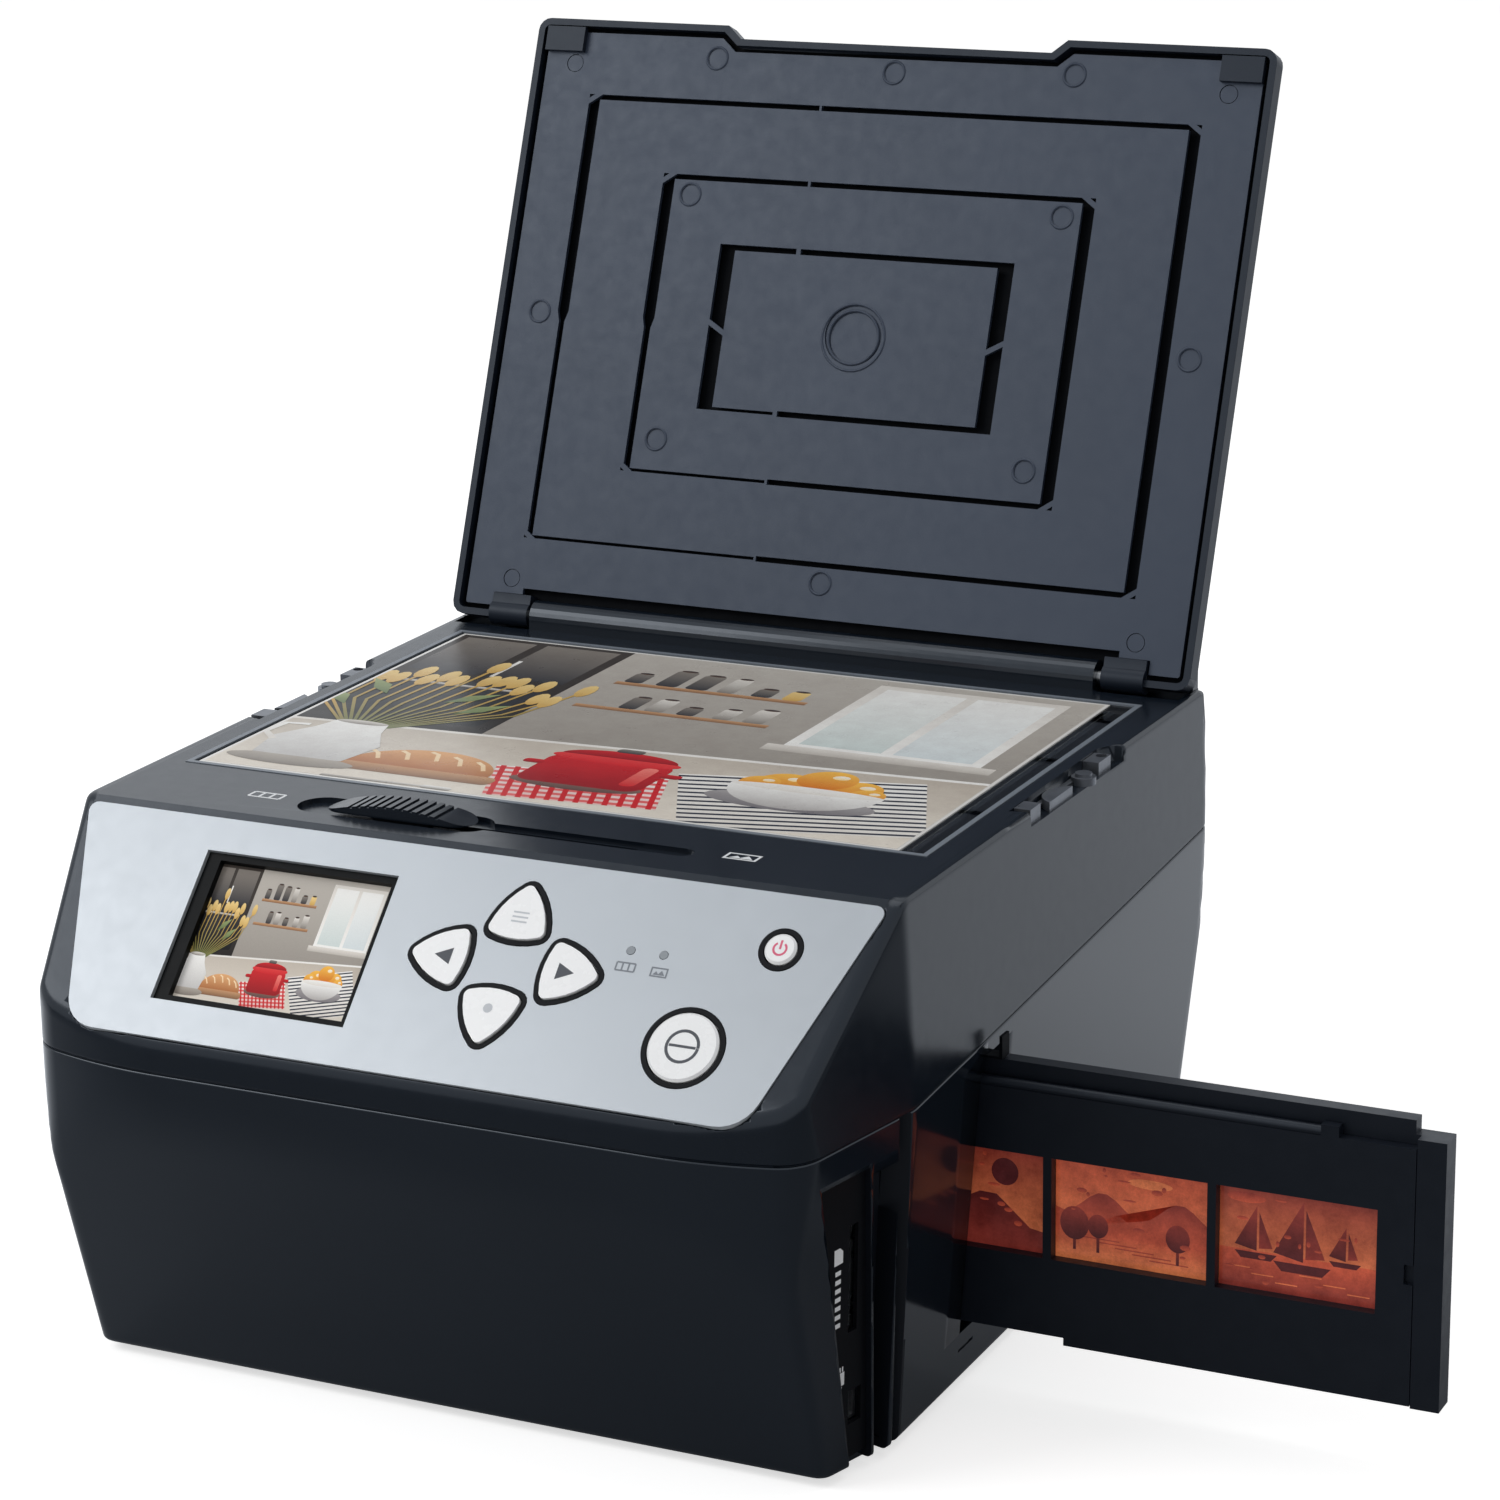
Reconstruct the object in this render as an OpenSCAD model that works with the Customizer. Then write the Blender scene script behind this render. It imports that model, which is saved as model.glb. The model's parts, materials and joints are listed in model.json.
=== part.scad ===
// Combination scanner for film strips and paper prints: a two-part case with a sloped
// control panel, a hinged platen lid, a film holder that slides through the case and a
// selector that carries a folding mirror into the light path.
// Frame: X to the right along the front, Y to the back, Z up from the desk.
// Inside the modules Y starts at the front edge of the deck; home() then centres the feet.

/* [Case] */
// Width of the glass platen
glass_w = 185; // [180:1:230]
// Depth of the glass platen
glass_d = 128.5; // [120:0.5:160]
// Deck margin left and right of the platen
deck_side = 9.2; // [8.6:0.1:16]
// Deck strip in front of the platen, which holds the selector
deck_front = 31.5; // [30:0.5:45]
// Deck strip behind the platen, which holds the hinge
deck_back = 21.5; // [20.5:0.5:36]
// Height of the deck above the desk
deck_h = 127.5; // [124:0.5:160]
// How far each side wall flares out from the deck to the parting line
side_flare = 2.7; // [1:0.1:6]
// How far each side wall draws in from the parting line to the base
side_draw = 6.7; // [2:0.1:10]
// Height of the parting line at the front edge of the deck
seam_h = 81.6; // [81.6:0.2:92]
// Slope of the parting line, rising towards the back
seam_tilt = 3.7; // [0:0.1:5]
// Wall thickness of both case halves
wall = 2.4; // [2:0.1:3]
// Height of the rubber feet that stands out below the case
foot_h = 2; // [1:0.1:4]

/* [Nose] */
// How far the nose stands in front of the deck
nose_d = 40.5; // [34:0.5:52]
// Drop from the deck to the lower edge of the control panel
nose_drop = 41; // [36:0.5:48]
// Height of the upright band under the control panel
band_h = 18.5; // [10:0.5:26]
// How far the foot of the front leans back under the nose
undercut = 20; // [10:0.5:26]
// Taper of the nose's sides in plan
nose_taper = 16; // [8:0.5:20]

/* [Lid] */
// Distance of the closed lid's free edge behind the deck's front edge
lid_front = 15.9; // [15.5:0.1:20]
// Thickness of the lid
lid_t = 5; // [4.4:0.1:7]
// Opening angle of the lid at its stop
lid_open = 111.4; // [100:0.2:115]
// Gap between the closed lid's rim and the deck
lid_gap = 0.6; // [0.5:0.1:1]
// Radius of the hinge pins
pin_r = 1.5; // [1.2:0.1:1.7]

/* [Film holder] */
// Pitch of the film frames
frame_pitch = 38; // [37:0.5:40]
// Number of film frames in the holder
frame_count = 6; // [3:1:8]
// Width of one frame window
window_w = 35.2; // [30:0.2:36]
// Height of one frame window
window_h = 23; // [20:0.5:28]
// Height of the film holder
holder_h = 64.5; // [60:0.5:65]
// Thickness of the closed film holder
holder_t = 6.6; // [5:0.2:8]
// Height of the holder's lower edge above the desk
holder_z = 15.2; // [14.5:0.1:16]
// Distance of the holder's front face behind the deck's front edge
holder_y = 38; // [37:0.5:44]
// X of the scanning axis, where one frame lies in the light
axis_x = -14; // [-16:1:0]

/* [Control panel] */
// Thickness of the silver control panel
panel_t = 1.6; // [1.2:0.1:2]
// Width of the screen opening
screen_w = 49; // [40:0.5:52]
// Height of the screen opening along the slope
screen_h = 37.2; // [30:0.5:40]
// Radius from a key's middle to its corner arcs
key_reach = 6; // [5:0.1:6.4]
// Radius of the round start key
start_r = 8; // [6:0.1:9]
// Radius of the round power key
power_r = 3.6; // [3:0.1:4.4]

/* [Selector] */
// Travel of the selector knob and of the mirror under it
selector_travel = 50; // [44:1:50]
// Length of the selector knob
knob_l = 37; // [28:0.5:38]
// Width of the folding mirror
mirror_w = 46; // [40:1:48]
// Radius of the mirror's guide rods
rod_r = 2; // [1.5:0.1:2.4]

/* [Clearances] */
// Radial clearance of a shaft that turns or slides in its bore
run_fit = 0.05; // [0.02:0.01:0.1]
// Clearance between parts that slide on each other
slide_fit = 0.3; // [0.2:0.05:0.5]
// Clearance between parts that are put together once
seat_fit = 0.1; // [0.05:0.05:0.2]

/* [Hidden] */
$fn = 40;
eps = 0.01;
far = 400;

// Case outline, worked out from the platen and its margins
deck_half = glass_w / 2 + deck_side;
seam_half = deck_half + side_flare;
deck_d = deck_front + glass_d + deck_back;
seam_back = deck_d + 3.5;
base_back = deck_d - 4.5;
base_front = undercut - nose_d;
mid_y = 78;
nose_z = deck_h - nose_drop;
band_z = nose_z - band_h;
slope_a = atan2(nose_drop, nose_d);
slope_l = norm([nose_d, nose_drop]);
draw_k = side_draw / (seam_h - foot_h);
flare_k = side_flare / (deck_h - seam_h);
back_seam_z = seam_h + deck_d * tan(seam_tilt);
bow_r = 110;
bow_x = 60;
nose_corner = 11;
back_corner = 8;
floor_z = foot_h + wall;
tongue_t = 1.2;
tongue_h = 2;
reveal = 0.45;
foot_r = 7;
foot_inset = 1;
foot_spots = [for (x = [-1, 1], y = [4, 150]) [x * (seam_half - side_draw - 19), y]];

// Screw posts in the corners
post_x = seam_half - 15.5;
post_spots = [for (x = [-post_x, post_x], y = [14, deck_d - 16]) [x, y]];
post_r = 4.6;
post_top = seam_h + 1.4;
post_head = 8;
screw_r = 1.4;
head_r = 2.7;

// Platen and deck
glass_t = 2.8;
ledge_w = 3.5;
frame_w = 1.4;
frame_deep = 1.4;
slot_y = 12.5;
slot_deep = 1.2;
knob_x0 = -44;
knob_w = 9.2;
stem_w = 2.6;
stem_l = 14;
stem_x0 = knob_x0 + (knob_l - stem_l) / 2;
groove_end = knob_x0 + knob_l + selector_travel + 3.7;
pocket_x = deck_half - 4.4;
pocket_y0 = 66;
pocket_y1 = 127;
pocket_deep = 3.6;
clip_z = deck_h - pocket_deep;
clip_y = pocket_y0 + 40;
ridge_t = 3.9;
ridge_h = 4.5;

// Hinge and lid, drawn closed and turned to the open stop
rim_drop = 1.9;
hinge_z = deck_h + lid_gap + rim_drop;
hinge_y = deck_d - ridge_t - 4.2;
lid_back = 1.5;
lid_y1 = hinge_y + lid_back;
lid_y0 = lid_front;
rim_z = hinge_z - rim_drop;
block_half = 78;
block_r = 4.2;
block_pin = 12;
hinge_screw_x = [-60, -20, 20, 60];
trough_deep = 1.4;
lid_half = deck_half + 0.4;
cut_half = block_half + 1.5;
knuckle_r = 3.2;
knuckle_l = 11;
rim_w = 1.8;
rim_gap = 1.4;
skin_t = 1.2;
inner_drop = 1.2;
inner_t = 1.2;
notch_r = block_r + slide_fit;
skin_edge = hinge_y - 3.2;
plate_edge = hinge_y - 6.8;
finger_half = 43;
finger_deep = 3.4;
lid_spots = [for (x = [-1, 1])
    each [[x * (lid_half - 11.6), lid_y0 + 11.5], [x * (cut_half + 7), hinge_y - 9.2]]];

// Nested slots of the lid's inner plate: half width, half depth, width of the side slots,
// their width in the rear half at the left, width of the cross slots
slot_mid = hinge_y - 78.9;
slot_sets = [[83.2, 58.4, 3.2, 1.6, 1.4], [58.2, 38.6, 3.4, 1.9, 1.4], [38.6, 21, 4.4, 4.4, 1.5]];
thin_slot = 0.8;
thin_x = -17;
bridge_w = 1.3;
// Ejector marks: x and distance from the hinge
eject_spots = [[-49.5, 149], [49.5, 149], [0.6, 147.4], [-51.5, 113], [51.5, 113],
    [-90, 79.7], [90, 79.7], [-51, 48.8], [51, 48.8], [0.7, 15.9]];
eject_r = 2.5;
eject_deep = 0.2;

// Film holder
cover_t = 2.6;
film_t = 0.2;
film_h = 35;
end_grip = 6.4;
end_margin = 9.7;
holder_x0 = axis_x - window_w / 2 - end_margin - end_grip + 1;
holder_l = frame_pitch * (frame_count - 1) + window_w + 2 * (end_margin + end_grip) - 2;
holder_x1 = holder_x0 + holder_l;
holder_mid = (holder_x0 + holder_x1) / 2;
holder_z1 = holder_z + holder_h;
film_z = holder_z + holder_h / 2;
film_y = holder_y + cover_t;
end_low = 3.2;
hinge_bar_r = 1.3;
way_y0 = holder_y - slide_fit;
way_y1 = holder_y + holder_t + slide_fit;

// Light path behind the holder
mirror_y = 76;
mirror_t = 1.6;
mirror_l = 50;
rod_at = [[57, film_z + 23], [98, film_z - 23]];
rod_x0 = -seam_half + 10;
rod_x1 = 34;
bracket_t = 3;
bush_r = rod_r + 2.6;
park_x = axis_x - selector_travel;
arm_z = deck_h - 19;
camera_y = 150;
barrel_r = 11;
barrel_l = 30;

// Main board and the ribbons that end on it
board_lo = [-78, -14, floor_z + 4.6];
board_hi = [52, 23, floor_z + 6.2];
board_spots = [for (x = [board_lo[0] + 4, board_hi[0] - 4], y = [board_lo[1] + 4, board_hi[1] - 4]) [x, y]];
ribbon_t = 0.3;
ribbon_z = floor_z + 2.7;

// Control panel layout: x to the right, s down the slope from the deck's edge
panel_sink = 1.2;
screen_at = [-39.8, 28.8];
pad_at = [17.2, 27.4];
pad_gap = [14.8, 11.4];
power_at = [78.4, 15];
start_at = [64, 40.2];
led_at = [[44.9, 20], [52.7, 20]];
led_r = 0.95;
corner_r = 1.5;
bulge_e = 12;
ring_w = 1.3;
key_rise = 1.1;
board_drop = 7.2;
board_t = 1.6;
bezel_deep = 6;
screen_back = 9.2;
key_field = [[86.5, -25], [86.5, -7], [-7.5, -7], [-7.5, -25], [3, -slope_l + 5], [77, -slope_l + 5]];

// Short groove below the holder's way in the right wall
mark_z = 9.6;
mark_x = seam_half - draw_k * (seam_h + way_y0 * tan(seam_tilt) - mark_z) - 0.6;

// Socket bay on the tapered side at the right, measured along that wall
bay_top = -8;
bay_low = -77;
bay_deep = 2.6;
bay_plate_t = 1;
socket_back = -11.2;
card_slot = [-19.3, -46.2, 2.8, 25.6];
usb_hole = [-18.8, -68.8, 4.2, 8.2];

// ---- Outlines ----

function unit(v) = v / norm(v);
function arc(c, r, a0, a1, n) =
    [for (i = [0:n]) c + r * [cos(a0 + (a1 - a0) * i / n), sin(a0 + (a1 - a0) * i / n)]];
function mirrored(pts) = concat(pts, [for (i = [len(pts) - 1:-1:0]) [-pts[i][0], pts[i][1]]]);

// Where two edges of an outline meet once each is moved to its left by t
function moved_corner(a, b, c, t) =
    let (u = unit(b - a), v = unit(c - b), m = [-u[1], u[0]], n = [-v[1], v[0]])
    b + (m + n) * t / (1 + m * n);

// An anticlockwise convex outline, drawn in by t
function inset(pts, t) = let (n = len(pts))
    [for (i = [0:n - 1]) moved_corner(pts[(i + n - 1) % n], pts[i], pts[(i + 1) % n], t)];

// A strip of thickness t along an open path
function strip(path, t) = let (n = len(path),
    side = function (k) [for (i = [0:n - 1])
        moved_corner(i > 0 ? path[i - 1] : 2 * path[0] - path[1], path[i],
            i < n - 1 ? path[i + 1] : 2 * path[n - 1] - path[n - 2], k)],
    left = side(t / 2), right = side(-t / 2))
    concat(left, [for (i = [n - 1:-1:0]) right[i]]);

// Plan of the case at its widest: bowed front, tapered nose, round corners
function plan(t) =
    let (r = nose_corner, bow = [bow_x, bow_r - nose_d], m = tan(nose_taper),
         a = seam_half - r / cos(nose_taper), e = a - bow[0], f = bow_r - r,
         p = m * m + 1, q = m * e - bow[1],
         y = (-q - sqrt(q * q - p * (e * e + bow[1] * bow[1] - f * f))) / p,
         c = [a + m * y, y], lean = atan2(c[1] - bow[1], c[0] - bow[0]))
    mirrored(concat(
        arc(bow, bow_r - t, -90, lean, 5),
        arc(c, r - t, lean + 8, -nose_taper, 8),
        [[seam_half - t, -t * tan(nose_taper / 2)]],
        arc([seam_half - back_corner, seam_back - back_corner], back_corner - t, 0, 90, 6)));

// Profile of the case from the side, down to height z0
function profile(z0) =
    let (k = (z0 - foot_h) / (band_z - foot_h), b = (z0 - foot_h) / (back_seam_z - foot_h))
    [[base_front + k * (-nose_d - base_front), z0], [base_back + b * (seam_back - base_back), z0],
     [seam_back, back_seam_z], [deck_d, deck_h], [0, deck_h], [-nose_d, nose_z], [-nose_d, band_z]];

// Section through one side wall, with its kink at the parting line
side_section = [[-far, -far], [-draw_k * far, -far], [0, 0], [-flare_k * far, far], [-far, far]];

// Rounded triangle of a direction key that points along angle a, grown by g
function key_outline(g, a) =
    let (across = norm([key_reach + bulge_e * cos(60), bulge_e * sin(60)]),
         tip = atan2(bulge_e * sin(60), key_reach + bulge_e * cos(60)))
    [for (k = [0:2]) each concat(
        arc(key_reach * [cos(a + 120 * k), sin(a + 120 * k)], corner_r + g,
            a + 120 * k - tip, a + 120 * k + tip, 4),
        [for (i = [1:4]) let (b = a + 120 * k + tip + (120 - 2 * tip) * i / 5)
            (across + corner_r + g) * [cos(b), sin(b)]
            - bulge_e * [cos(a + 120 * k + 60), sin(a + 120 * k + 60)]])];

// A point s down the control panel and d behind its face, in the side view
function behind_slope(s, d) =
    [d * sin(slope_a) - s * cos(slope_a), deck_h - s * sin(slope_a) - d * cos(slope_a)];

// ---- Helpers ----

module home() {
    translate([0, -mid_y, 0])
        children();
}

module box(lo, hi) {
    translate(lo)
        cube(hi - lo);
}

module both() {
    children();
    mirror([1, 0, 0])
        children();
}

module rod_x(x0, x1, at, r) {
    translate([x0, at[0], at[1]])
        rotate([0, 90, 0])
            cylinder(r = r, h = x1 - x0);
}

module rod_y(x, y0, y1, z, r) {
    translate([x, y0, z])
        rotate([-90, 0, 0])
            cylinder(r = r, h = y1 - y0);
}

// An outline in the side view, drawn out from x0 to x1
module side_plate(x0, x1, pts) {
    translate([x0, 0, 0])
        rotate([90, 0, 90])
            linear_extrude(height = x1 - x0)
                polygon(pts);
}

// An outline in the front view, drawn back from y0 to y1
module front_plate(y0, y1, pts) {
    translate([0, y1, 0])
        rotate([90, 0, 0])
            linear_extrude(height = y1 - y0)
                polygon(pts);
}

// A slab with round ends at x0 and x1, about the line y
module stadium(x0, x1, y, r, h) {
    linear_extrude(height = h)
        polygon(concat(arc([x1 - r, y], r, -90, 90, 12), arc([x0 + r, y], r, 90, 270, 12)));
}

// A screw that points up, its head's underside at z = 0
module screw(len, r, head, h) {
    cylinder(r = r, h = len);
    translate([0, 0, -h])
        difference() {
            cylinder(r = head, h = h);
            translate([0, 0, -eps])
                cylinder(r = r * 0.9, h = h * 0.6, $fn = 6);
        }
}

// Frame of the control panel: x right, y up the slope, z out of it
module on_slope() {
    translate([0, 0, deck_h])
        rotate([slope_a, 0, 0])
            children();
}

// Frame of a side wall at the parting line, turned in plan: y along the wall, z up
module on_side(turn) {
    translate([seam_half, 0, seam_h])
        rotate([0, 0, -turn])
            rotate([atan(tan(seam_tilt) * cos(turn)), 0, 0])
                children();
}

// Frame of the tapered side below the parting line: x out of the wall
module on_bay() {
    on_side(nose_taper)
        rotate([0, atan(draw_k), 0])
            children();
}

// ---- Case ----

// Everything between the two side walls that are turned in plan by an angle
module between_sides(turn, t) {
    intersection() {
        on_side(turn)
            rotate([90, 0, 0])
                linear_extrude(height = 2 * far, center = true)
                    polygon(inset(side_section, t));
        mirror([1, 0, 0])
            on_side(turn)
                rotate([90, 0, 0])
                    linear_extrude(height = 2 * far, center = true)
                        polygon(inset(side_section, t));
    }
}

// The outer form of the whole case drawn in by t, down to height z0
module case_form(t, z0) {
    intersection() {
        translate([-far / 2, 0, 0])
            rotate([90, 0, 90])
                linear_extrude(height = far)
                    polygon(inset(profile(z0), t));
        linear_extrude(height = far)
            polygon(plan(t));
        between_sides(0, t);
        between_sides(nose_taper, t);
    }
}

// A slab that lies on the parting line, from h0 to h1 above it
module seam_slab(h0, h1) {
    translate([0, 0, seam_h])
        rotate([seam_tilt, 0, 0])
            translate([-far, -far, h0])
                cube([2 * far, 2 * far, h1 - h0]);
}

module upper_case() {
    color("#3a414a") home() difference() {
        union() {
            difference() {
                intersection() {
                    case_form(0, foot_h);
                    seam_slab(0, far);
                }
                case_form(wall, 0);
                // groove that sets off the parting line
                difference() {
                    seam_slab(-1, reveal);
                    case_form(reveal, 0);
                }
                // rebate for the lower half's tongue
                intersection() {
                    case_form(tongue_t - seat_fit, 0);
                    seam_slab(-1, tongue_h + seat_fit);
                }
            }
            upper_ribs();
            box([-deck_half + 0.8, deck_d - ridge_t, deck_h - 1],
                [deck_half - 0.8, deck_d - 0.3, deck_h + ridge_h]);
        }
        deck_cuts();
        hinge_cuts();
        slope_cuts();
    }
}

module upper_ribs() {
    under = deck_h - wall + eps;
    // frame under the platen
    box([-glass_w / 2 - 4, deck_front - 4, deck_h - glass_t - 2.2],
        [glass_w / 2 + 4, deck_front + glass_d + 4, under]);
    // thick floor round the selector slot
    box([knob_x0 - 10, slot_y - 8, under - 1.4], [groove_end + 3, slot_y + 8, under]);
    // floors of the finger pockets
    both()
        box([pocket_x - 2, pocket_y0 - 4, clip_z - 1.6], [deck_half - 1, pocket_y1 + 4, under]);
    // seat of the hinge
    box([-deck_half + 2, hinge_y - 6, under - 1.6], [deck_half - 2, hinge_y + 5, under]);
    // bosses that come down on the lower half's posts
    for (p = post_spots)
        translate([p[0], p[1], post_top])
            cylinder(r = post_r, h = under - post_top);
}

module deck_cuts() {
    // seat of the platen, its frame and its opening
    box([-glass_w / 2 - frame_w - seat_fit, deck_front - frame_w - seat_fit, deck_h - frame_deep],
        [glass_w / 2 + frame_w + seat_fit, deck_front + glass_d + frame_w + seat_fit, deck_h + 5]);
    box([-glass_w / 2 - seat_fit, deck_front - seat_fit, deck_h - glass_t],
        [glass_w / 2 + seat_fit, deck_front + glass_d + seat_fit, deck_h + 5]);
    box([-glass_w / 2 + ledge_w, deck_front + ledge_w, deck_h - 20],
        [glass_w / 2 - ledge_w, deck_front + glass_d - ledge_w, deck_h + 5]);
    // selector recess, its groove and the slot for the stem
    translate([0, 0, deck_h - slot_deep]) {
        stadium(knob_x0 - 8, knob_x0 + knob_l + 4, slot_y, 6, 5);
        stadium(knob_x0 + knob_l - 6, groove_end, slot_y, 2.7, 5);
    }
    box([stem_x0 - 1, slot_y - stem_w / 2 - slide_fit, deck_h - 10],
        [stem_x0 + stem_l + selector_travel + 1, slot_y + stem_w / 2 + slide_fit, deck_h + 5]);
    // finger pockets at both edges of the deck
    both()
        translate([0, 0, clip_z])
            linear_extrude(height = 10)
                polygon(concat(
                    [[pocket_x, pocket_y0 + 2], [deck_half + 9, pocket_y0 + 7], [deck_half + 9, pocket_y1]],
                    arc([pocket_x + 6, pocket_y1 - 6], 6, 90, 180, 6)));
    // holes of the clip screws
    both()
        translate([pocket_x + 3.1, clip_y, clip_z - 1])
            cylinder(r = 1.1, h = 5, $fn = 24);
    // pilot holes of the case screws
    for (p = post_spots)
        translate([p[0], p[1], post_top - eps])
            cylinder(r = screw_r, h = 13);
}

module hinge_cuts() {
    // trough under the lid's knuckles
    both()
        box([block_half + 0.4, hinge_y - 4.4, deck_h - trough_deep],
            [deck_half - 1.6, hinge_y + 4, deck_h + 3]);
    for (x = hinge_screw_x)
        translate([x, hinge_y, deck_h - 10])
            cylinder(r = screw_r + run_fit, h = 20, $fn = 24);
}

module slope_cuts() {
    on_slope() {
        translate([0, 0, -panel_sink])
            linear_extrude(height = 6)
                panel_outline(seat_fit);
        translate([screen_at[0], -screen_at[1], -12])
            linear_extrude(height = 14)
                square([screen_w + 3, screen_h + 3], center = true);
        translate([0, 0, -12])
            linear_extrude(height = 14)
                polygon(key_field);
    }
}

module lower_case() {
    color("#2c3138") home() difference() {
        union() {
            difference() {
                intersection() {
                    case_form(0, foot_h);
                    seam_slab(-far, 0);
                }
                case_form(wall, foot_h);
            }
            // tongue that stands up into the upper half
            difference() {
                intersection() {
                    case_form(tongue_t, foot_h);
                    seam_slab(-1, tongue_h);
                }
                case_form(wall, foot_h);
            }
            lower_posts();
            // thicker wall behind the socket bay
            intersection() {
                case_form(0, foot_h);
                seam_slab(-far, -4);
                on_bay()
                    box([-7, -29, bay_low], [1, 1, bay_top + 4]);
            }
        }
        lower_cuts();
    }
}

module lower_posts() {
    for (p = post_spots)
        translate([p[0], p[1], floor_z - eps])
            cylinder(r = post_r, h = post_top - floor_z);
    // webs that tie the posts to the side walls
    for (p = post_spots)
        intersection() {
            case_form(wall / 2, foot_h);
            seam_slab(-far, -6);
            box([p[0] > 0 ? p[0] + 2 : -far, p[1] - 1, floor_z - eps],
                [p[0] > 0 ? far : p[0] - 2, p[1] + 1, post_top - 2]);
        }
    // bosses under the main board
    for (p = board_spots)
        translate([p[0], p[1], floor_z - eps])
            cylinder(r = 3, h = board_lo[2] - floor_z);
}

// Recess of the socket panel on the tapered wall, grown by g
module bay_shape(g) {
    polygon([[-18.6 - g, bay_low - 8], [-12.4 + g, bay_low - 8],
        [-14.8 + g, bay_top + g], [-30.5 - g, bay_top + g]]);
}

// A socket's opening in the bay, grown by g, as a prism from x0 to x1
module bay_hole(hole, g, x0, x1) {
    box([x0, hole[0] - g, hole[1] - g], [x1, hole[0] + hole[2] + g, hole[1] + hole[3] + g]);
}

module lower_cuts() {
    // counterbored screw holes in the posts
    for (p = post_spots)
        translate([p[0], p[1], 0]) {
            cylinder(r = screw_r + 0.3, h = far);
            cylinder(r = head_r + 0.3, h = post_top - post_head);
        }
    for (p = board_spots)
        translate([p[0], p[1], foot_h + 1])
            cylinder(r = 1.2, h = 20, $fn = 24);
    // seats of the feet
    for (p = foot_spots)
        translate([p[0], p[1], 0])
            cylinder(r = foot_r + seat_fit, h = foot_h + foot_inset);
    // vent slots in the floor
    for (i = [0:9])
        translate([34 + i * 5, 60, 0])
            linear_extrude(height = 10)
                square([2.2, 36]);
    // way of the film holder through both side walls
    box([-far, way_y0 - 0.5, holder_z - 0.9], [far, way_y1 + 0.5, holder_z1 + 0.9]);
    on_bay() {
        // seat of the socket panel
        translate([-bay_deep, 0, 0])
            rotate([90, 0, 90])
                linear_extrude(height = 10)
                    bay_shape(seat_fit);
        // finger groove that fades out towards the foot
        rotate([90, 0, 90])
            translate([0, 0, -5.4])
                linear_extrude(height = 10)
                    polygon([[-11.4, bay_low - 8], [-7.4, bay_low - 8],
                        [-5, bay_top - 2], [-13.9, bay_top - 2]]);
        // bevel beside the groove
        linear_extrude(height = far, center = true)
            polygon([[-5.4, -5.4], [3, -5.4], [3, 2], [0.4, -1.2]]);
        // openings for the two sockets
        bay_hole(card_slot, 1.3, -9, 1);
        bay_hole(usb_hole, 0.5, -9, 1);
    }
    // short groove below the holder's way
    box([mark_x, holder_y - 0.7, mark_z], [far, way_y1 + 1, mark_z + 0.8]);
}

module feet() {
    h = foot_h + foot_inset - eps;
    color("#15171a") home()
        for (p = foot_spots)
            translate([p[0], p[1], 0])
                rotate_extrude($fn = 32)
                    polygon([[0, 0], [foot_r - 0.8, 0], [foot_r, 0.8], [foot_r, h], [0, h]]);
}

module case_screws() {
    color("#8d9299") home()
        for (p = post_spots)
            translate([p[0], p[1], post_top - post_head])
                screw(post_head + 10, screw_r, head_r, 2);
}

// ---- Control panel ----

// Silver panel: straight top, sides that draw in, round lower corners
module panel_outline(grow) {
    r = 9;
    top = -2 + grow;
    low = -slope_l + 1.2 - grow;
    half_top = deck_half - 3.2 + grow;
    draw_in = 15.2;
    lean = atan2(draw_in, top - low);
    polygon(mirrored(concat(
        arc([half_top - draw_in - r + 1.6, low + r], r, -90, -lean, 6),
        arc([half_top - 2, top - 2], 2, -lean, 90, 4))));
}

key_dirs = [90, 270, 180, 0];
function key_spot(a) = [pad_at[0] + pad_gap[0] * cos(a), -pad_at[1] + pad_gap[1] * sin(a)];
round_keys = [[power_at, power_r], [start_at, start_r]];

// Outlines of all six keys, grown by g
module key_outlines(g) {
    for (a = key_dirs)
        translate(key_spot(a))
            polygon(key_outline(g, a));
    for (k = round_keys)
        translate([k[0][0], -k[0][1]])
            circle(r = k[1] + g);
}

module led_outlines(g) {
    for (p = led_at)
        translate([p[0], -p[1]])
            circle(r = led_r + g, $fn = 20);
}

module control_panel() {
    color("#c3ccd3") home() on_slope()
        translate([0, 0, -panel_sink])
            linear_extrude(height = panel_t)
                difference() {
                    panel_outline(0);
                    translate([screen_at[0], -screen_at[1]])
                        square([screen_w, screen_h], center = true);
                    key_outlines(ring_w + 0.2);
                    led_outlines(0.1);
                }
}

// Black carrier behind the panel, whose rims stand up round the keys
module key_surround() {
    color("#101215") home() on_slope()
        difference() {
            union() {
                translate([0, 0, -panel_sink - 1.4])
                    linear_extrude(height = 1.4 - eps)
                        polygon(inset(key_field, seat_fit));
                translate([0, 0, -panel_sink - 1.4])
                    linear_extrude(height = 3.1)
                        key_outlines(ring_w);
            }
            translate([0, 0, -10])
                linear_extrude(height = 20) {
                    key_outlines(slide_fit);
                    led_outlines(0.1);
                }
        }
}

// What every key has behind its cap: a collar that keeps it in, and a stem
module key_foot() {
    translate([0, 0, -3.9])
        linear_extrude(height = 1)
            children();
    translate([0, 0, -5.2])
        cylinder(r = 1.6, h = 2, $fn = 24);
}

module direction_key(a) {
    color("#f2f4f5") home() on_slope()
        translate(key_spot(a)) {
            translate([0, 0, -3.4])
                linear_extrude(height = 3.4 + key_rise)
                    polygon(key_outline(0, a));
            key_foot()
                polygon(key_outline(0.9, a));
        }
}

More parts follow.
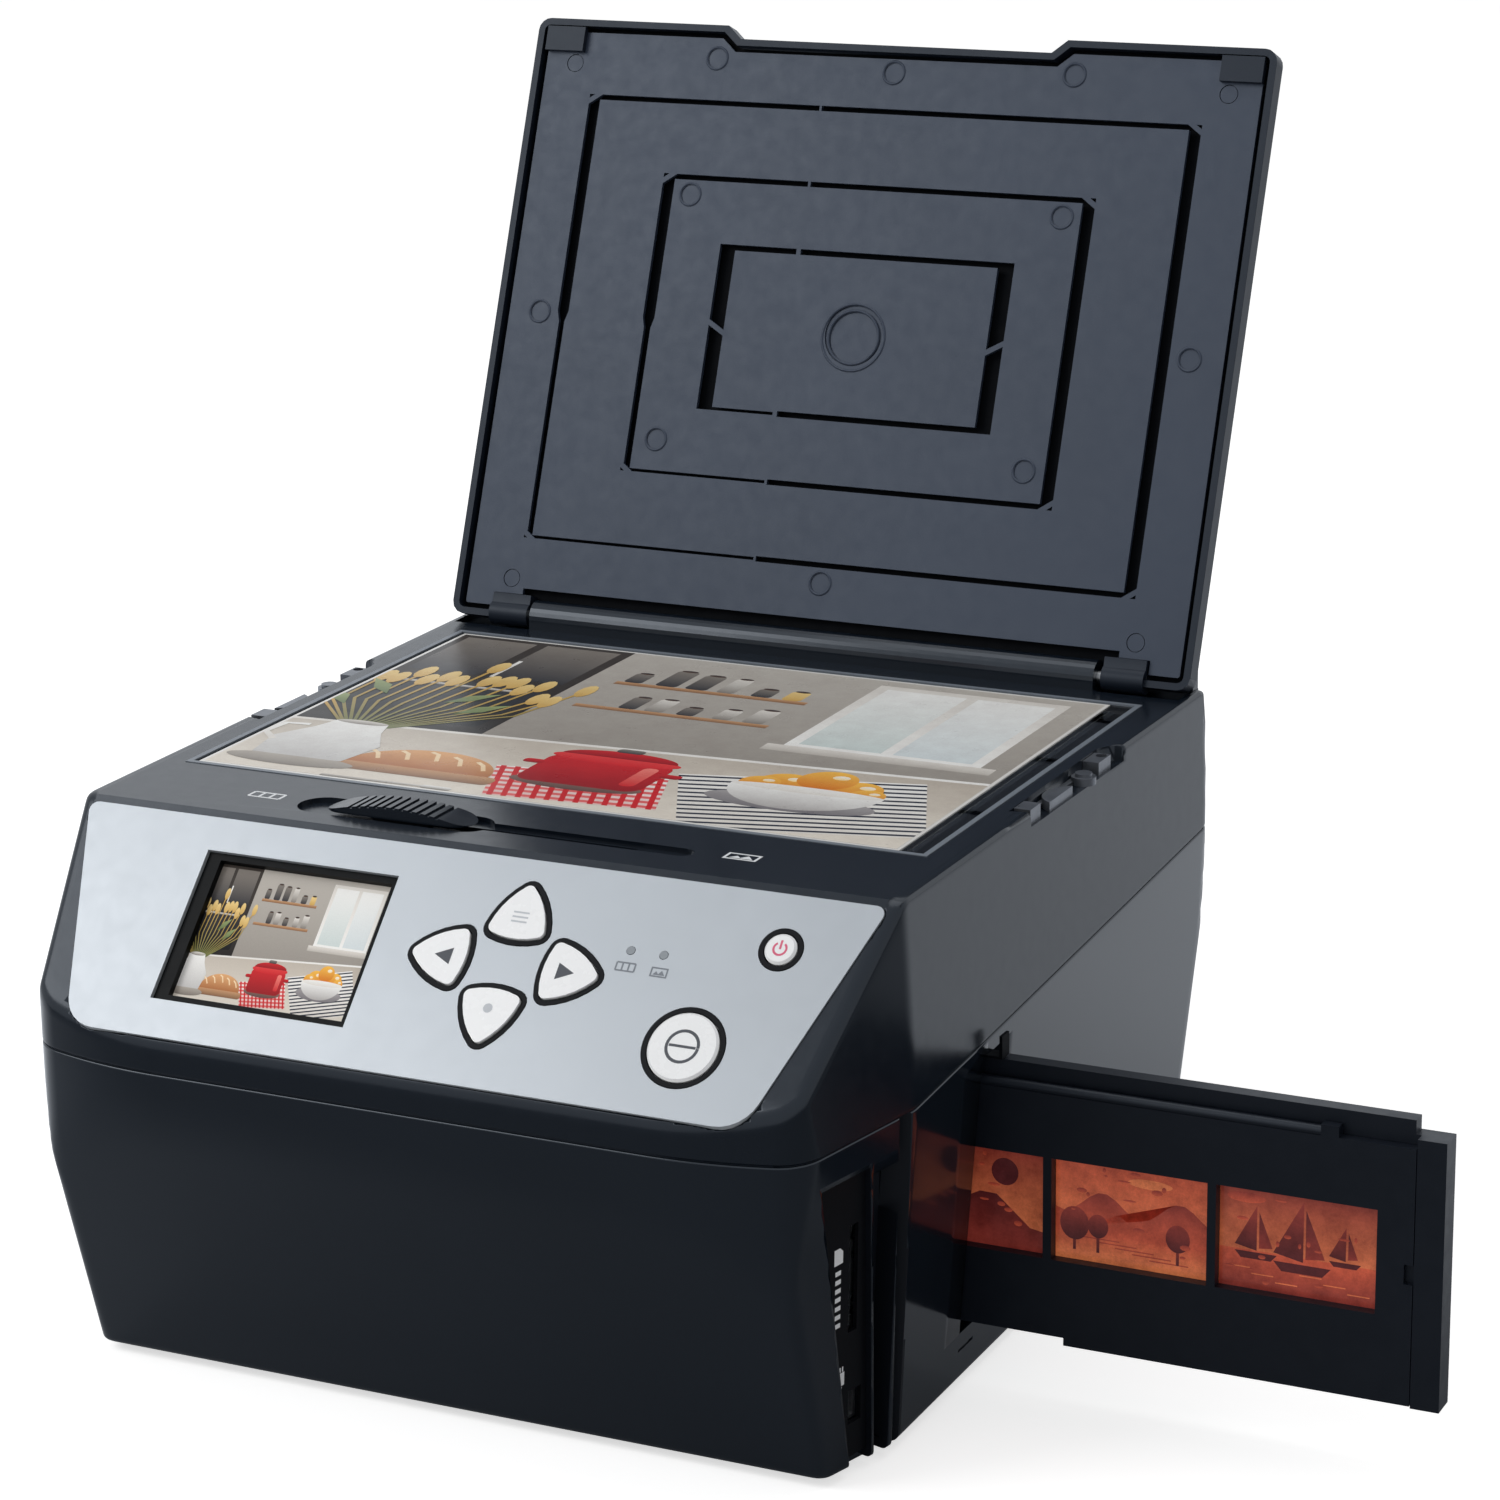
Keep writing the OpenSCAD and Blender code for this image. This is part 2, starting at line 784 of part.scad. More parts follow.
module round_key(k) {
    edge = 0.5;
    color("#f2f4f5") home() on_slope()
        translate([k[0][0], -k[0][1], 0]) {
            translate([0, 0, -3.4])
                cylinder(r = k[1], h = 3.4 + key_rise - edge);
            translate([0, 0, key_rise - edge])
                cylinder(r1 = k[1], r2 = k[1] - edge, h = edge);
            key_foot()
                circle(r = k[1] + 0.9);
        }
}

module key_up() { direction_key(90); }
module key_down() { direction_key(270); }
module key_left() { direction_key(180); }
module key_right() { direction_key(0); }
module key_power() { round_key(round_keys[0]); }
module key_start() { round_key(round_keys[1]); }

module screen_bezel() {
    color("#0c0d10") home() on_slope()
        translate([screen_at[0], -screen_at[1], -bezel_deep])
            linear_extrude(height = bezel_deep - 0.6)
                difference() {
                    square([screen_w - 0.2, screen_h - 0.2], center = true);
                    translate([1, 0])
                        square([screen_w - 5, screen_h - 3.4], center = true);
                }
}

module screen_module() {
    color("#20242a") home() on_slope()
        translate([screen_at[0], -screen_at[1], -screen_back])
            linear_extrude(height = screen_back - bezel_deep)
                square([screen_w + 2, screen_h + 1.4], center = true);
}

key_board_fixes = [[pad_at[0] - 12, -10], [power_at[0] + 4, -23], [pad_at[0] + 28, -47]];

module key_board() {
    color("#1f5a3c") home() on_slope()
        difference() {
            translate([0, 0, -board_drop - board_t])
                linear_extrude(height = board_t)
                    polygon(inset(key_field, 1.2));
            for (p = key_board_fixes)
                translate([p[0], p[1], -20])
                    cylinder(r = 1.1, h = 30, $fn = 24);
        }
}

// Spacers between the carrier and the key board, each with its screw
module board_standoffs() {
    color("#8d9299") home() on_slope()
        for (p = key_board_fixes)
            translate([p[0], p[1], 0]) {
                translate([0, 0, -board_drop])
                    cylinder(r = 2, h = board_drop - panel_sink - 1.4, $fn = 24);
                translate([0, 0, -board_drop - board_t])
                    cylinder(r = 1.05, h = board_t + 1, $fn = 24);
                translate([0, 0, -board_drop - board_t - 1.2])
                    cylinder(r = 1.9, h = 1.2, $fn = 24);
            }
}

module key_switches() {
    color("#3a3d42") home() on_slope()
        for (p = concat([for (a = key_dirs) key_spot(a)], [for (k = round_keys) [k[0][0], -k[0][1]]]))
            translate([p[0], p[1], -board_drop]) {
                translate([-2.25, -2.25, 0])
                    cube([4.5, 4.5, 0.8]);
                cylinder(r = 1.3, h = 1.1, $fn = 24);
            }
}

module status_leds() {
    color("#4a5058") home() on_slope()
        for (p = led_at)
            translate([p[0], -p[1], -board_drop]) {
                cylinder(r = led_r, h = board_drop + 0.5, $fn = 20);
                cylinder(r = led_r + 0.6, h = 1.2, $fn = 20);
            }
}

// ---- Deck ----

module platen_glass() {
    color("#1c2126") home()
        box([-glass_w / 2, deck_front, deck_h - glass_t],
            [glass_w / 2, deck_front + glass_d, deck_h - 0.3]);
}

module platen_frame() {
    color("#9aa3ab") home() difference() {
        box([-glass_w / 2 - frame_w, deck_front - frame_w, deck_h - frame_deep],
            [glass_w / 2 + frame_w, deck_front + glass_d + frame_w, deck_h + 0.15]);
        box([-glass_w / 2 - seat_fit / 2, deck_front - seat_fit / 2, deck_h - 5],
            [glass_w / 2 + seat_fit / 2, deck_front + glass_d + seat_fit / 2, deck_h + 5]);
    }
}

module photo_print() {
    print_w = 178;
    print_d = 127;
    color("#e9e6df") home()
        translate([-glass_w / 2 + 1, deck_front + 0.6, deck_h - 0.3])
            cube([print_w, print_d, 0.25]);
}

// Bar that carries the hinge pins, with a rounded back and top
module hinge_block() {
    color("#2b3138") home() difference() {
        side_plate(-block_half, block_half, concat(
            [[hinge_y - block_r, deck_h], [hinge_y + 3, deck_h]],
            arc([hinge_y, hinge_z], block_r, -20, 180, 14)));
        both()
            rod_x(block_half - block_pin - 1, block_half + 1, [hinge_y, hinge_z], pin_r + 0.02);
        for (x = hinge_screw_x)
            translate([x, hinge_y, deck_h - 1])
                cylinder(r = screw_r - 0.2, h = 5.5, $fn = 24);
    }
}

module hinge_screws() {
    under = deck_h - wall - 1.6;
    color("#8d9299") home()
        for (x = hinge_screw_x)
            translate([x, hinge_y, under])
                screw(wall + 5, screw_r - 0.22, head_r, 1.6);
}

module hinge_pins() {
    color("#b8bcc2") home()
        both()
            rod_x(block_half - block_pin, cut_half + knuckle_l - 0.5, [hinge_y, hinge_z], pin_r);
}

// Spring clips in the finger pockets
module edge_clips() {
    color("#aab0b6") home()
        both() {
            translate([pocket_x + 0.1, pocket_y0 + 8, clip_z])
                cube([1.4, 44, 1]);
            translate([pocket_x + 0.1, pocket_y0 + 5, clip_z])
                cube([4, 6, pocket_deep - 0.1]);
            // rounded thumb pad
            intersection() {
                translate([pocket_x + 8.3, pocket_y0 + 23, clip_z])
                    cylinder(r = 8.1, h = 2.3);
                box([pocket_x, pocket_y0, clip_z], [deck_half - 0.1, pocket_y1, deck_h]);
            }
            difference() {
                translate([pocket_x + 3.1, clip_y, clip_z])
                    cylinder(r = 2.9, h = 1.8);
                translate([pocket_x + 3.1, clip_y, clip_z - 1])
                    cylinder(r = 1.15, h = 5, $fn = 24);
            }
            difference() {
                translate([pocket_x + 0.1, pocket_y1 - 14, clip_z])
                    cube([4, 7.6, pocket_deep - 0.5]);
                translate([pocket_x + 2.4, pocket_y1 - 8, clip_z + 1])
                    cylinder(r = 1.3, h = 5, $fn = 24);
            }
        }
}

module clip_screws() {
    color("#c9ccd0") home()
        both()
            translate([pocket_x + 3.1, clip_y, clip_z - 1]) {
                cylinder(r = 1.08, h = 2.8, $fn = 24);
                translate([0, 0, 2.8])
                    cylinder(r = 2, h = 0.8, $fn = 24);
            }
}

// ---- Socket bay ----

module socket_panel() {
    color("#262b31") home() on_bay()
        translate([-bay_deep, 0, 0])
            rotate([90, 0, 90])
                linear_extrude(height = bay_plate_t)
                    difference() {
                        intersection() {
                            bay_shape(0);
                            translate([-40, bay_low])
                                square([60, far]);
                        }
                        for (hole = [card_slot, usb_hole])
                            translate([hole[0], hole[1]])
                                square([hole[2], hole[3]]);
                    }
}

module socket_board() {
    color("#1f5a3c") home() on_bay()
        box([socket_back - board_t, -25, -71], [socket_back, -3, -13]);
}

module card_socket() {
    color("#b4b8bd") home() on_bay()
        difference() {
            bay_hole(card_slot, 0.8, socket_back, -bay_deep - 0.8);
            bay_hole(card_slot, -0.2, socket_back + 1.4, 0);
        }
}

module usb_socket() {
    color("#b4b8bd") home() on_bay()
        difference() {
            bay_hole(usb_hole, 0.2, socket_back, -bay_deep - 0.8);
            bay_hole(usb_hole, -0.5, socket_back + 1.4, 0);
        }
}

// ---- Boards ----

module main_board() {
    color("#1f5a3c") home() difference() {
        box(board_lo, board_hi);
        for (p = board_spots)
            translate([p[0], p[1], 0])
                cylinder(r = screw_r + 0.1, h = far, $fn = 24);
    }
}

// Ribbon connectors on the main board: corner, width and depth
screen_plug = [-50, -11.5, 16, 5];
camera_plug = [-22, 15, 16, 5];
plug_h = 2.4;
ribbon_s = 38;
ribbon_bow = [13, 66];

// Packages, capacitors and the two ribbon connectors
module board_parts() {
    z = board_hi[2];
    color("#17191c") home() {
        box([-10, -8, z], [8, 10, z + 1.6]);
        box([16, -4, z], [26, 12, z + 1.2]);
        box([34, 2, z], [44, 10, z + 1.1]);
        for (p = [screen_plug, camera_plug])
            translate([p[0], p[1], z])
                cube([p[2], p[3], plug_h]);
        for (i = [0:2])
            translate([-64 + i * 9, 12, z])
                cylinder(r = 3, h = 4.5, $fn = 24);
    }
}

module board_screws() {
    color("#8d9299") home()
        for (p = board_spots)
            translate([p[0], p[1], 0]) {
                translate([0, 0, foot_h + 1.4])
                    cylinder(r = 1.18, h = board_hi[2] - foot_h - 1.4, $fn = 24);
                translate([0, 0, board_hi[2]])
                    cylinder(r = 2.6, h = 1.2, $fn = 24);
            }
}

module screen_ribbon() {
    z = board_hi[2] + plug_h;
    color("#b5793a") home()
        side_plate(screen_plug[0] + 2, screen_plug[0] + screen_plug[2] - 2,
            strip([behind_slope(ribbon_s, screen_back), behind_slope(ribbon_s, ribbon_bow[0]),
                [screen_plug[1] + 2.5, ribbon_bow[1]], [screen_plug[1] + 2.5, z]], ribbon_t));
}

module camera_ribbon() {
    z = board_hi[2] + plug_h;
    back = camera_y + board_t;
    color("#b5793a") home()
        side_plate(camera_plug[0] + 2, camera_plug[0] + camera_plug[2] - 2,
            strip([[back, film_z - 14], [back + 2.4, film_z - 14], [back + 2.4, ribbon_z], [30, ribbon_z],
                [camera_plug[1] + 2.5, z + 2], [camera_plug[1] + 2.5, z]], ribbon_t));
}

// ---- Camera ----

module camera_bracket() {
    w = 15;
    color("#3b4046") home() difference() {
        union() {
            box([axis_x - w, camera_y - 30, floor_z], [axis_x + w, camera_y - 9, floor_z + 2.4]);
            box([axis_x - w, camera_y - 12, floor_z], [axis_x + w, camera_y - 9, film_z + 15]);
            for (x = [axis_x - w, axis_x + w - 2])
                side_plate(x, x + 2,
                    [[camera_y - 29, floor_z + 2], [camera_y - 11, floor_z + 2], [camera_y - 11, film_z]]);
        }
        rod_y(axis_x, camera_y - 40, camera_y, film_z, barrel_r + seat_fit);
        // way of the ribbon
        box([camera_plug[0] + 1, camera_y - 13, ribbon_z - 1],
            [camera_plug[0] + camera_plug[2] - 1, camera_y, ribbon_z + 1]);
        for (x = [axis_x - 9, axis_x + 9])
            translate([x, camera_y - 22, 0])
                cylinder(r = screw_r, h = 20, $fn = 24);
    }
}

module camera_board() {
    h = 19;
    color("#1f5a3c") home()
        box([axis_x - h, camera_y, film_z - h], [axis_x + h, camera_y + board_t, film_z + h]);
}

module camera_barrel() {
    color("#111316") home() difference() {
        union() {
            rod_y(axis_x, camera_y - barrel_l, camera_y, film_z, barrel_r);
            // shoulder that sits on the bracket
            rod_y(axis_x, camera_y - 9, camera_y - 5, film_z, barrel_r + 2.5);
        }
        rod_y(axis_x, camera_y - barrel_l - 1, camera_y - barrel_l + 4, film_z, 8.4);
        rod_y(axis_x, camera_y - barrel_l - 1, camera_y - 3, film_z, 6.5);
    }
}

module camera_lens() {
    r = 8.3;
    bulge = 2.4;
    color("#39486a") home()
        translate([axis_x, camera_y - barrel_l + 4, film_z])
            rotate([90, 0, 0])
                rotate_extrude($fn = 32)
                    polygon(concat([[0, 0]],
                        [for (i = [0:6]) [r * cos(15 * i), 1 + bulge * sin(15 * i)]], [[0, 1]]));
}

// ---- Selector and folding mirror ----

module guide_rods() {
    color("#c4c8cc") home()
        for (p = rod_at)
            rod_x(rod_x0, rod_x1, p, rod_r);
}

module rod_brackets() {
    top = rod_at[0];
    low = rod_at[1];
    color("#3b4046") home()
        for (x = [rod_x0 + 1, rod_x1 - 1 - bracket_t])
            difference() {
                union() {
                    side_plate(x, x + bracket_t, [[top[0] - 5, floor_z], [low[0] + 6, floor_z],
                        [low[0] + 6, low[1] + 5], [top[0] + 5, top[1] + 5], [top[0] - 5, top[1] + 5]]);
                    box([x > 0 ? x - 8 : x, top[0] + 6, floor_z],
                        [x > 0 ? x + bracket_t : x + 8 + bracket_t, low[0] - 6, floor_z + 2.4]);
                }
                for (p = rod_at)
                    rod_x(x - 1, x + bracket_t + 1, p, rod_r + 0.02);
                for (y = [top[0] + 11, low[0] - 11])
                    translate([x > 0 ? x - 4 : x + bracket_t + 4, y, 0])
                        cylinder(r = screw_r, h = 20, $fn = 24);
            }
}

// Frame of the mirror: x right, y down its face, z out of the reflecting side
module on_mirror() {
    translate([park_x, mirror_y, film_z])
        rotate([-45, 0, 0])
            children();
}

// Mirror frame on two bushes, with the arm that reaches forward to the selector knob
module mirror_carriage() {
    w = mirror_w / 2 + 2;
    l = mirror_l / 2 + 3;
    y = rod_at[0][0];
    z = rod_at[0][1];
    color("#23282e") home() difference() {
        union() {
            on_mirror()
                translate([-w, -l, -4])
                    cube([2 * w, 2 * l, 4]);
            for (p = rod_at)
                rod_x(park_x - w, park_x + w, p, bush_r);
            // arm up from the upper bush, forward over the film holder, and the stem's socket
            box([park_x - 6, y - 2.2, z], [park_x + w, y + 2.2, arm_z]);
            box([stem_x0 - 3, slot_y - 3.5, arm_z - 3], [stem_x0 + stem_l - 1, y + 2.2, arm_z]);
            box([park_x - 6, y - 2.2, arm_z - 3], [stem_x0 + stem_l - 1, y + 2.2, arm_z]);
            box([stem_x0 - 3, slot_y - 3.5, arm_z - 3], [stem_x0 + stem_l + 3, slot_y + 3.5, arm_z + 8]);
        }
        for (p = rod_at)
            rod_x(park_x - far / 2, park_x + far / 2, p, rod_r + run_fit);
        on_mirror()
            translate([-mirror_w / 2 - seat_fit, -mirror_l / 2 - seat_fit, -mirror_t])
                cube([mirror_w + 2 * seat_fit, mirror_l + 2 * seat_fit, 10]);
        box([stem_x0 - seat_fit, slot_y - stem_w / 2 - seat_fit, arm_z + 1],
            [stem_x0 + stem_l + seat_fit, slot_y + stem_w / 2 + seat_fit, arm_z + 20]);
    }
}

module folding_mirror() {
    color("#d5dbe0") home() on_mirror()
        translate([-mirror_w / 2, -mirror_l / 2, -mirror_t])
            cube([mirror_w, mirror_l, mirror_t]);
}

// Long knob with a shallow dome and grip grooves, and its stem through the deck
module selector_knob() {
    rise = 2.8;
    base_z = deck_h + 0.2;
    dome_r = (knob_l * knob_l / 4 + rise * rise) / (2 * rise);
    mid = knob_x0 + knob_l / 2;
    color("#343b44") home() difference() {
        union() {
            intersection() {
                translate([0, 0, base_z])
                    stadium(knob_x0, knob_x0 + knob_l, slot_y, knob_w / 2, 5);
                rod_y(mid, slot_y - knob_w, slot_y + knob_w, base_z + rise - dome_r, dome_r, $fn = 96);
            }
            box([stem_x0, slot_y - stem_w / 2, arm_z + 1],
                [stem_x0 + stem_l, slot_y + stem_w / 2, base_z + eps]);
        }
        for (i = [-5:5])
            let (x = mid + i * 2.2, z = base_z + rise - dome_r + sqrt(dome_r * dome_r - pow(i * 2.2, 2)))
            box([x - 0.5, slot_y - knob_w, z - 0.4], [x + 0.5, slot_y + knob_w, z + 2]);
    }
}

// ---- Film light and guides ----

module light_box() {
    w = 24;
    color("#dfe3e6") home() difference() {
        union() {
            box([axis_x - w, 8, film_z - 17], [axis_x + w, way_y0 - 1, film_z + 17]);
            // mounting plate behind the main board
            box([axis_x - w - 5, 31, floor_z], [axis_x + w + 5, way_y0 - 1, film_z + 20]);
            box([axis_x - w - 5, 25, floor_z], [axis_x + w + 5, way_y0 - 1, floor_z + 2.2]);
        }
        box([axis_x - w + 2, 10, film_z - 15], [axis_x + w - 2, 60, film_z + 15]);
        box([camera_plug[0] + 1, 20, floor_z - 1], [camera_plug[0] + camera_plug[2] - 1, 60, ribbon_z + 6]);
        for (x = [axis_x - w, axis_x + w])
            translate([x, 28, 0])
                cylinder(r = screw_r, h = 20, $fn = 24);
    }
}

module light_board() {
    w = 21.8;
    h = 14.8;
    color("#f1efe4") home() {
        box([axis_x - w, 10, film_z - h], [axis_x + w, 11.6, film_z + h]);
        for (i = [-1:1], j = [-1:1])
            translate([axis_x + i * 13 - 1.7, 11.6, film_z + j * 9 - 1.4])
                cube([3.4, 1, 2.8]);
    }
}

module light_diffuser() {
    w = 21.8;
    h = 14.8;
    color("#f7f7f4") home()
        box([axis_x - w, 29, film_z - h], [axis_x + w, 32, film_z + h]);
}

// Plate with the frame opening, behind the film holder
module film_gate() {
    w = 29;
    color("#1b1e22") home() difference() {
        union() {
            box([axis_x - w, way_y1, floor_z], [axis_x + w, way_y1 + 2.5, film_z + 20]);
            box([axis_x - w, way_y1, floor_z], [axis_x + w, way_y1 + 7, floor_z + 2.2]);
        }
        box([axis_x - window_w / 2 - 0.5, way_y1 - 1, film_z - window_h / 2 - 0.5],
            [axis_x + window_w / 2 + 0.5, way_y1 + 5, film_z + window_h / 2 + 0.5]);
        box([camera_plug[0] + 1, way_y1 - 1, floor_z - 1],
            [camera_plug[0] + camera_plug[2] - 1, way_y1 + 20, ribbon_z + 1]);
        for (x = [axis_x - w + 5, axis_x + w - 5])
            translate([x, way_y1 + 4.8, 0])
                cylinder(r = screw_r, h = 20, $fn = 24);
    }
}

guide_half = seam_half - draw_k * (seam_h - floor_z) - wall - 1.2;
guide_l = 12;

// Two channels that carry the holder from wall to wall
module holder_guides() {
    color("#2a2e34") home()
        both()
            difference() {
                union() {
                    box([guide_half - guide_l, way_y0 - 2.2, floor_z],
                        [guide_half, way_y1 + 2.2, holder_z1 + 2.8]);
                    box([guide_half - guide_l, way_y0 - 9, floor_z], [guide_half, way_y0, floor_z + 2.2]);
                }
                box([guide_half - guide_l - 1, way_y0, holder_z - slide_fit],
                    [guide_half + 1, way_y1, holder_z1 + 0.9]);
                translate([guide_half - guide_l / 2, way_y0 - 5.6, 0])
                    cylinder(r = screw_r, h = 20, $fn = 24);
            }
}

// Leaf spring over the holder, its tip turned up outside the wall
module holder_spring() {
    color("#6d747c") home()
        front_plate(holder_y + 1.3, holder_y + 5.3, [[guide_half - guide_l + 1, holder_z1 + 0.4],
            [seam_half + 3.4, holder_z1 + 0.4], [seam_half + 3.4, holder_z1 + 5.7],
            [seam_half + 2.7, holder_z1 + 5.7], [seam_half + 2.7, holder_z1 + 0.9],
            [guide_half - guide_l + 1, holder_z1 + 0.9]]);
}

// Screws of the brackets on the floor
module bracket_screws() {
    spots = concat(
        [for (x = [axis_x - 9, axis_x + 9]) [x, camera_y - 22, 2.4]],
        [for (x = [axis_x - 24, axis_x + 24]) [x, 28, 2.2]],
        [for (x = [axis_x - 24, axis_x + 24]) [x, way_y1 + 4.8, 2.2]],
        [for (s = [-1, 1]) [s * (guide_half - guide_l / 2), way_y0 - 5.6, 2.2]],
        [for (x = [rod_x0 + 5 + bracket_t, rod_x1 - 5 - bracket_t], y = [rod_at[0][0] + 11, rod_at[1][0] - 11])
            [x, y, 2.4]]);
    color("#8d9299") home()
        for (p = spots)
            translate([p[0], p[1], floor_z]) {
                cylinder(r = screw_r - 0.02, h = p[2], $fn = 24);
                translate([0, 0, p[2]])
                    cylinder(r = 2.3, h = 1.2, $fn = 24);
            }
}

// Lamp strips under the deck on both sides of the platen
module print_lamps() {
    z = deck_h - glass_t - 2.2;
    lamps = 8;
    pitch = (glass_d - 30) / (lamps - 1);
    color("#e8e9e2") home()
        both()
            translate([glass_w / 2 - 0.7, deck_front, 0]) {
                box([-2.9, 8, z - board_t], [2.9, glass_d - 8, z]);
                for (i = [0:lamps - 1])
                    translate([-1.6, 13.4 + i * pitch, z - board_t - 1])
                        cube([3.2, 3.2, 1]);
            }
}

// ---- Lid ----

// The lid is drawn closed, in the frame of the case, and turned about its hinge to the stop
module lid_opened() {
    translate([0, hinge_y, hinge_z])
        rotate([-lid_open, 0, 0])
            translate([0, -hinge_y, -hinge_z])
                children();
}

// Plan of the lid drawn in by t: finger notch in front, hinge notch up to the line y = edge behind
function lid_outline(t, edge) =
    let (r = 3.4 - min(t, 2.8))
    mirrored(concat(
        [[finger_half + t / 2, lid_y0 + finger_deep + t], [finger_half + 4 + t / 2, lid_y0 + t]],
        arc([lid_half - t - r, lid_y0 + t + r], r, -90, 0, 4),
        arc([lid_half - t - r, lid_y1 - t - r], r, 0, 90, 3),
        [[cut_half + t, lid_y1 - t], [cut_half + t, edge]]));

module lid_cover() {
    color("#3c434c") home() lid_opened() difference() {
        union() {
            difference() {
                translate([0, 0, rim_z])
                    linear_extrude(height = lid_t)
                        polygon(lid_outline(0, skin_edge));
                // hollow behind the rim, open to the hinge
                translate([0, 0, rim_z - 1])
                    linear_extrude(height = lid_t + 1 - skin_t)
                        polygon(lid_outline(rim_w, hinge_y));
            }
            both() {
                rod_x(cut_half, cut_half + knuckle_l, [hinge_y, hinge_z], knuckle_r);
                box([cut_half, hinge_y - 5, rim_z], [cut_half + knuckle_l, hinge_y, rim_z + lid_t - 0.5]);
            }
            for (p = lid_spots)
                translate([p[0], p[1], rim_z + inner_drop + inner_t])
                    cylinder(r = 3, h = lid_t - inner_drop - inner_t - 1);
        }
        // the skin follows the hinge bar's round back
        rod_x(-cut_half, cut_half, [hinge_y, hinge_z], notch_r);
        both()
            rod_x(cut_half - 1, cut_half + knuckle_l + 1, [hinge_y, hinge_z], pin_r + run_fit);
        for (p = lid_spots)
            translate([p[0], p[1], rim_z])
                cylinder(r = 0.9, h = lid_t - 1, $fn = 24);
    }
}

// One frame of slots, whose corners or sides are bridged
module slot_frame(g, corners) {
    difference() {
        union() {
            for (k = [-1, 1])
                translate([-g[0] - g[2] / 2, k * g[1] - g[4] / 2 + (k > 0 ? (g[4] - thin_slot) / 2 : 0)])
                    square([thin_x + g[0], k > 0 ? thin_slot : g[4]]);
            for (k = [-1, 1])
                translate([thin_x - 1, k * g[1] - g[4] / 2])
                    square([g[0] + g[2] / 2 + 1 - thin_x, g[4]]);
            translate([g[0] - g[2] / 2, -g[1] - g[4] / 2])
                square([g[2], 2 * g[1] + g[4]]);
            // the left side slot narrows in the rear half
            translate([-g[0], 0])
                polygon([[-g[2] / 2, -g[1] - g[4] / 2], [g[2] / 2, -g[1] - g[4] / 2],
                    [g[2] / 2, -1.4], [g[3] / 2, 1.4], [g[3] / 2, g[1]],
                    [-g[3] / 2, g[1]], [-g[3] / 2, 1.4], [-g[2] / 2, -1.4]]);
        }
        if (corners)
            both()
                for (k = [-1, 1])
                    translate([g[0], k * g[1]])
                        rotate(-k * 35)
                            square([12, bridge_w], center = true);
        else
            both()
                translate([g[0], 0])
                    rotate(-30)
                        square([12, bridge_w], center = true);
    }
}

// Inner plate with three nested frames of slots
module lid_inner() {
    z = rim_z + inner_drop;
    color("#363d46") home() lid_opened() difference() {
        translate([0, 0, z])
            linear_extrude(height = inner_t)
                polygon(lid_outline(rim_w + rim_gap, plate_edge));
        both()
            box([cut_half - 1, hinge_y - 5.2, z - 1], [cut_half + knuckle_l + 0.4, hinge_y + 9, z + 9]);
        translate([0, slot_mid, z - 1])
            linear_extrude(height = inner_t + 2)
                for (i = [0:2])
                    slot_frame(slot_sets[i], i < 2);
        for (p = lid_spots)
            translate([p[0], p[1], z - 1]) {
                cylinder(r = 1.3, h = 6, $fn = 24);
                cylinder(r = 2.4, h = 1.6, $fn = 24);
            }
        for (p = eject_spots)
            translate([p[0], hinge_y - p[1], z - 1])
                cylinder(r = eject_r, h = 1 + eject_deep, $fn = 32);
        translate([0, hinge_y - 79.5, z - 1])
            cylinder(r = 7.9, h = 1.4);
    }
}

module lid_screws() {
    color("#2a2e33") home() lid_opened()
        for (p = lid_spots)
            translate([p[0], p[1], rim_z + inner_drop + 0.1]) {
                cylinder(r = 2.2, h = 0.5, $fn = 24);
                cylinder(r = 0.88, h = lid_t - 1.2 - inner_drop, $fn = 24);
            }
}

// Pads at the free corners that rest on the deck
module lid_pads() {
    color("#181b1f") home() lid_opened()
        both()
            translate([lid_half - 14, lid_y0 + rim_w + 0.4, rim_z - lid_gap + 0.05])
                cube([11, 6.4, lid_gap + inner_drop - 0.05]);
}

// ---- Film holder ----

module holder_windows(grow) {
    for (i = [0:frame_count - 1])
        translate([axis_x + i * frame_pitch, holder_y - 5, film_z])
            translate([-(window_w + grow) / 2, 0, -(window_h + grow) / 2])
                cube([window_w + grow, 20, window_h + grow]);
}

module holder_base() {
    color("#23272d") home() difference() {
        union() {
            // back plate: its lower edge is raised in the middle and its ends are lower
            front_plate(film_y + film_t, holder_y + holder_t, [
                [holder_x0, holder_z], [holder_mid - 47, holder_z], [holder_mid - 40.5, holder_z + 2],
                [holder_mid + 40.5, holder_z + 2], [holder_mid + 47, holder_z], [holder_x1, holder_z],
                [holder_x1, holder_z1 - end_low], [holder_x1 - end_grip - 1.2, holder_z1 - end_low],
                [holder_x1 - end_grip - 1.2, holder_z1], [holder_x0 + end_grip + 1.2, holder_z1],
                [holder_x0 + end_grip + 1.2, holder_z1 - end_low], [holder_x0, holder_z1 - end_low]]);
            // end grips as thick as the closed holder
            for (x = [holder_x0, holder_x1 - end_grip])
                box([x, holder_y, holder_z], [x + end_grip, holder_y + holder_t, holder_z1 - end_low]);
        }
        holder_windows(0);
    }
}

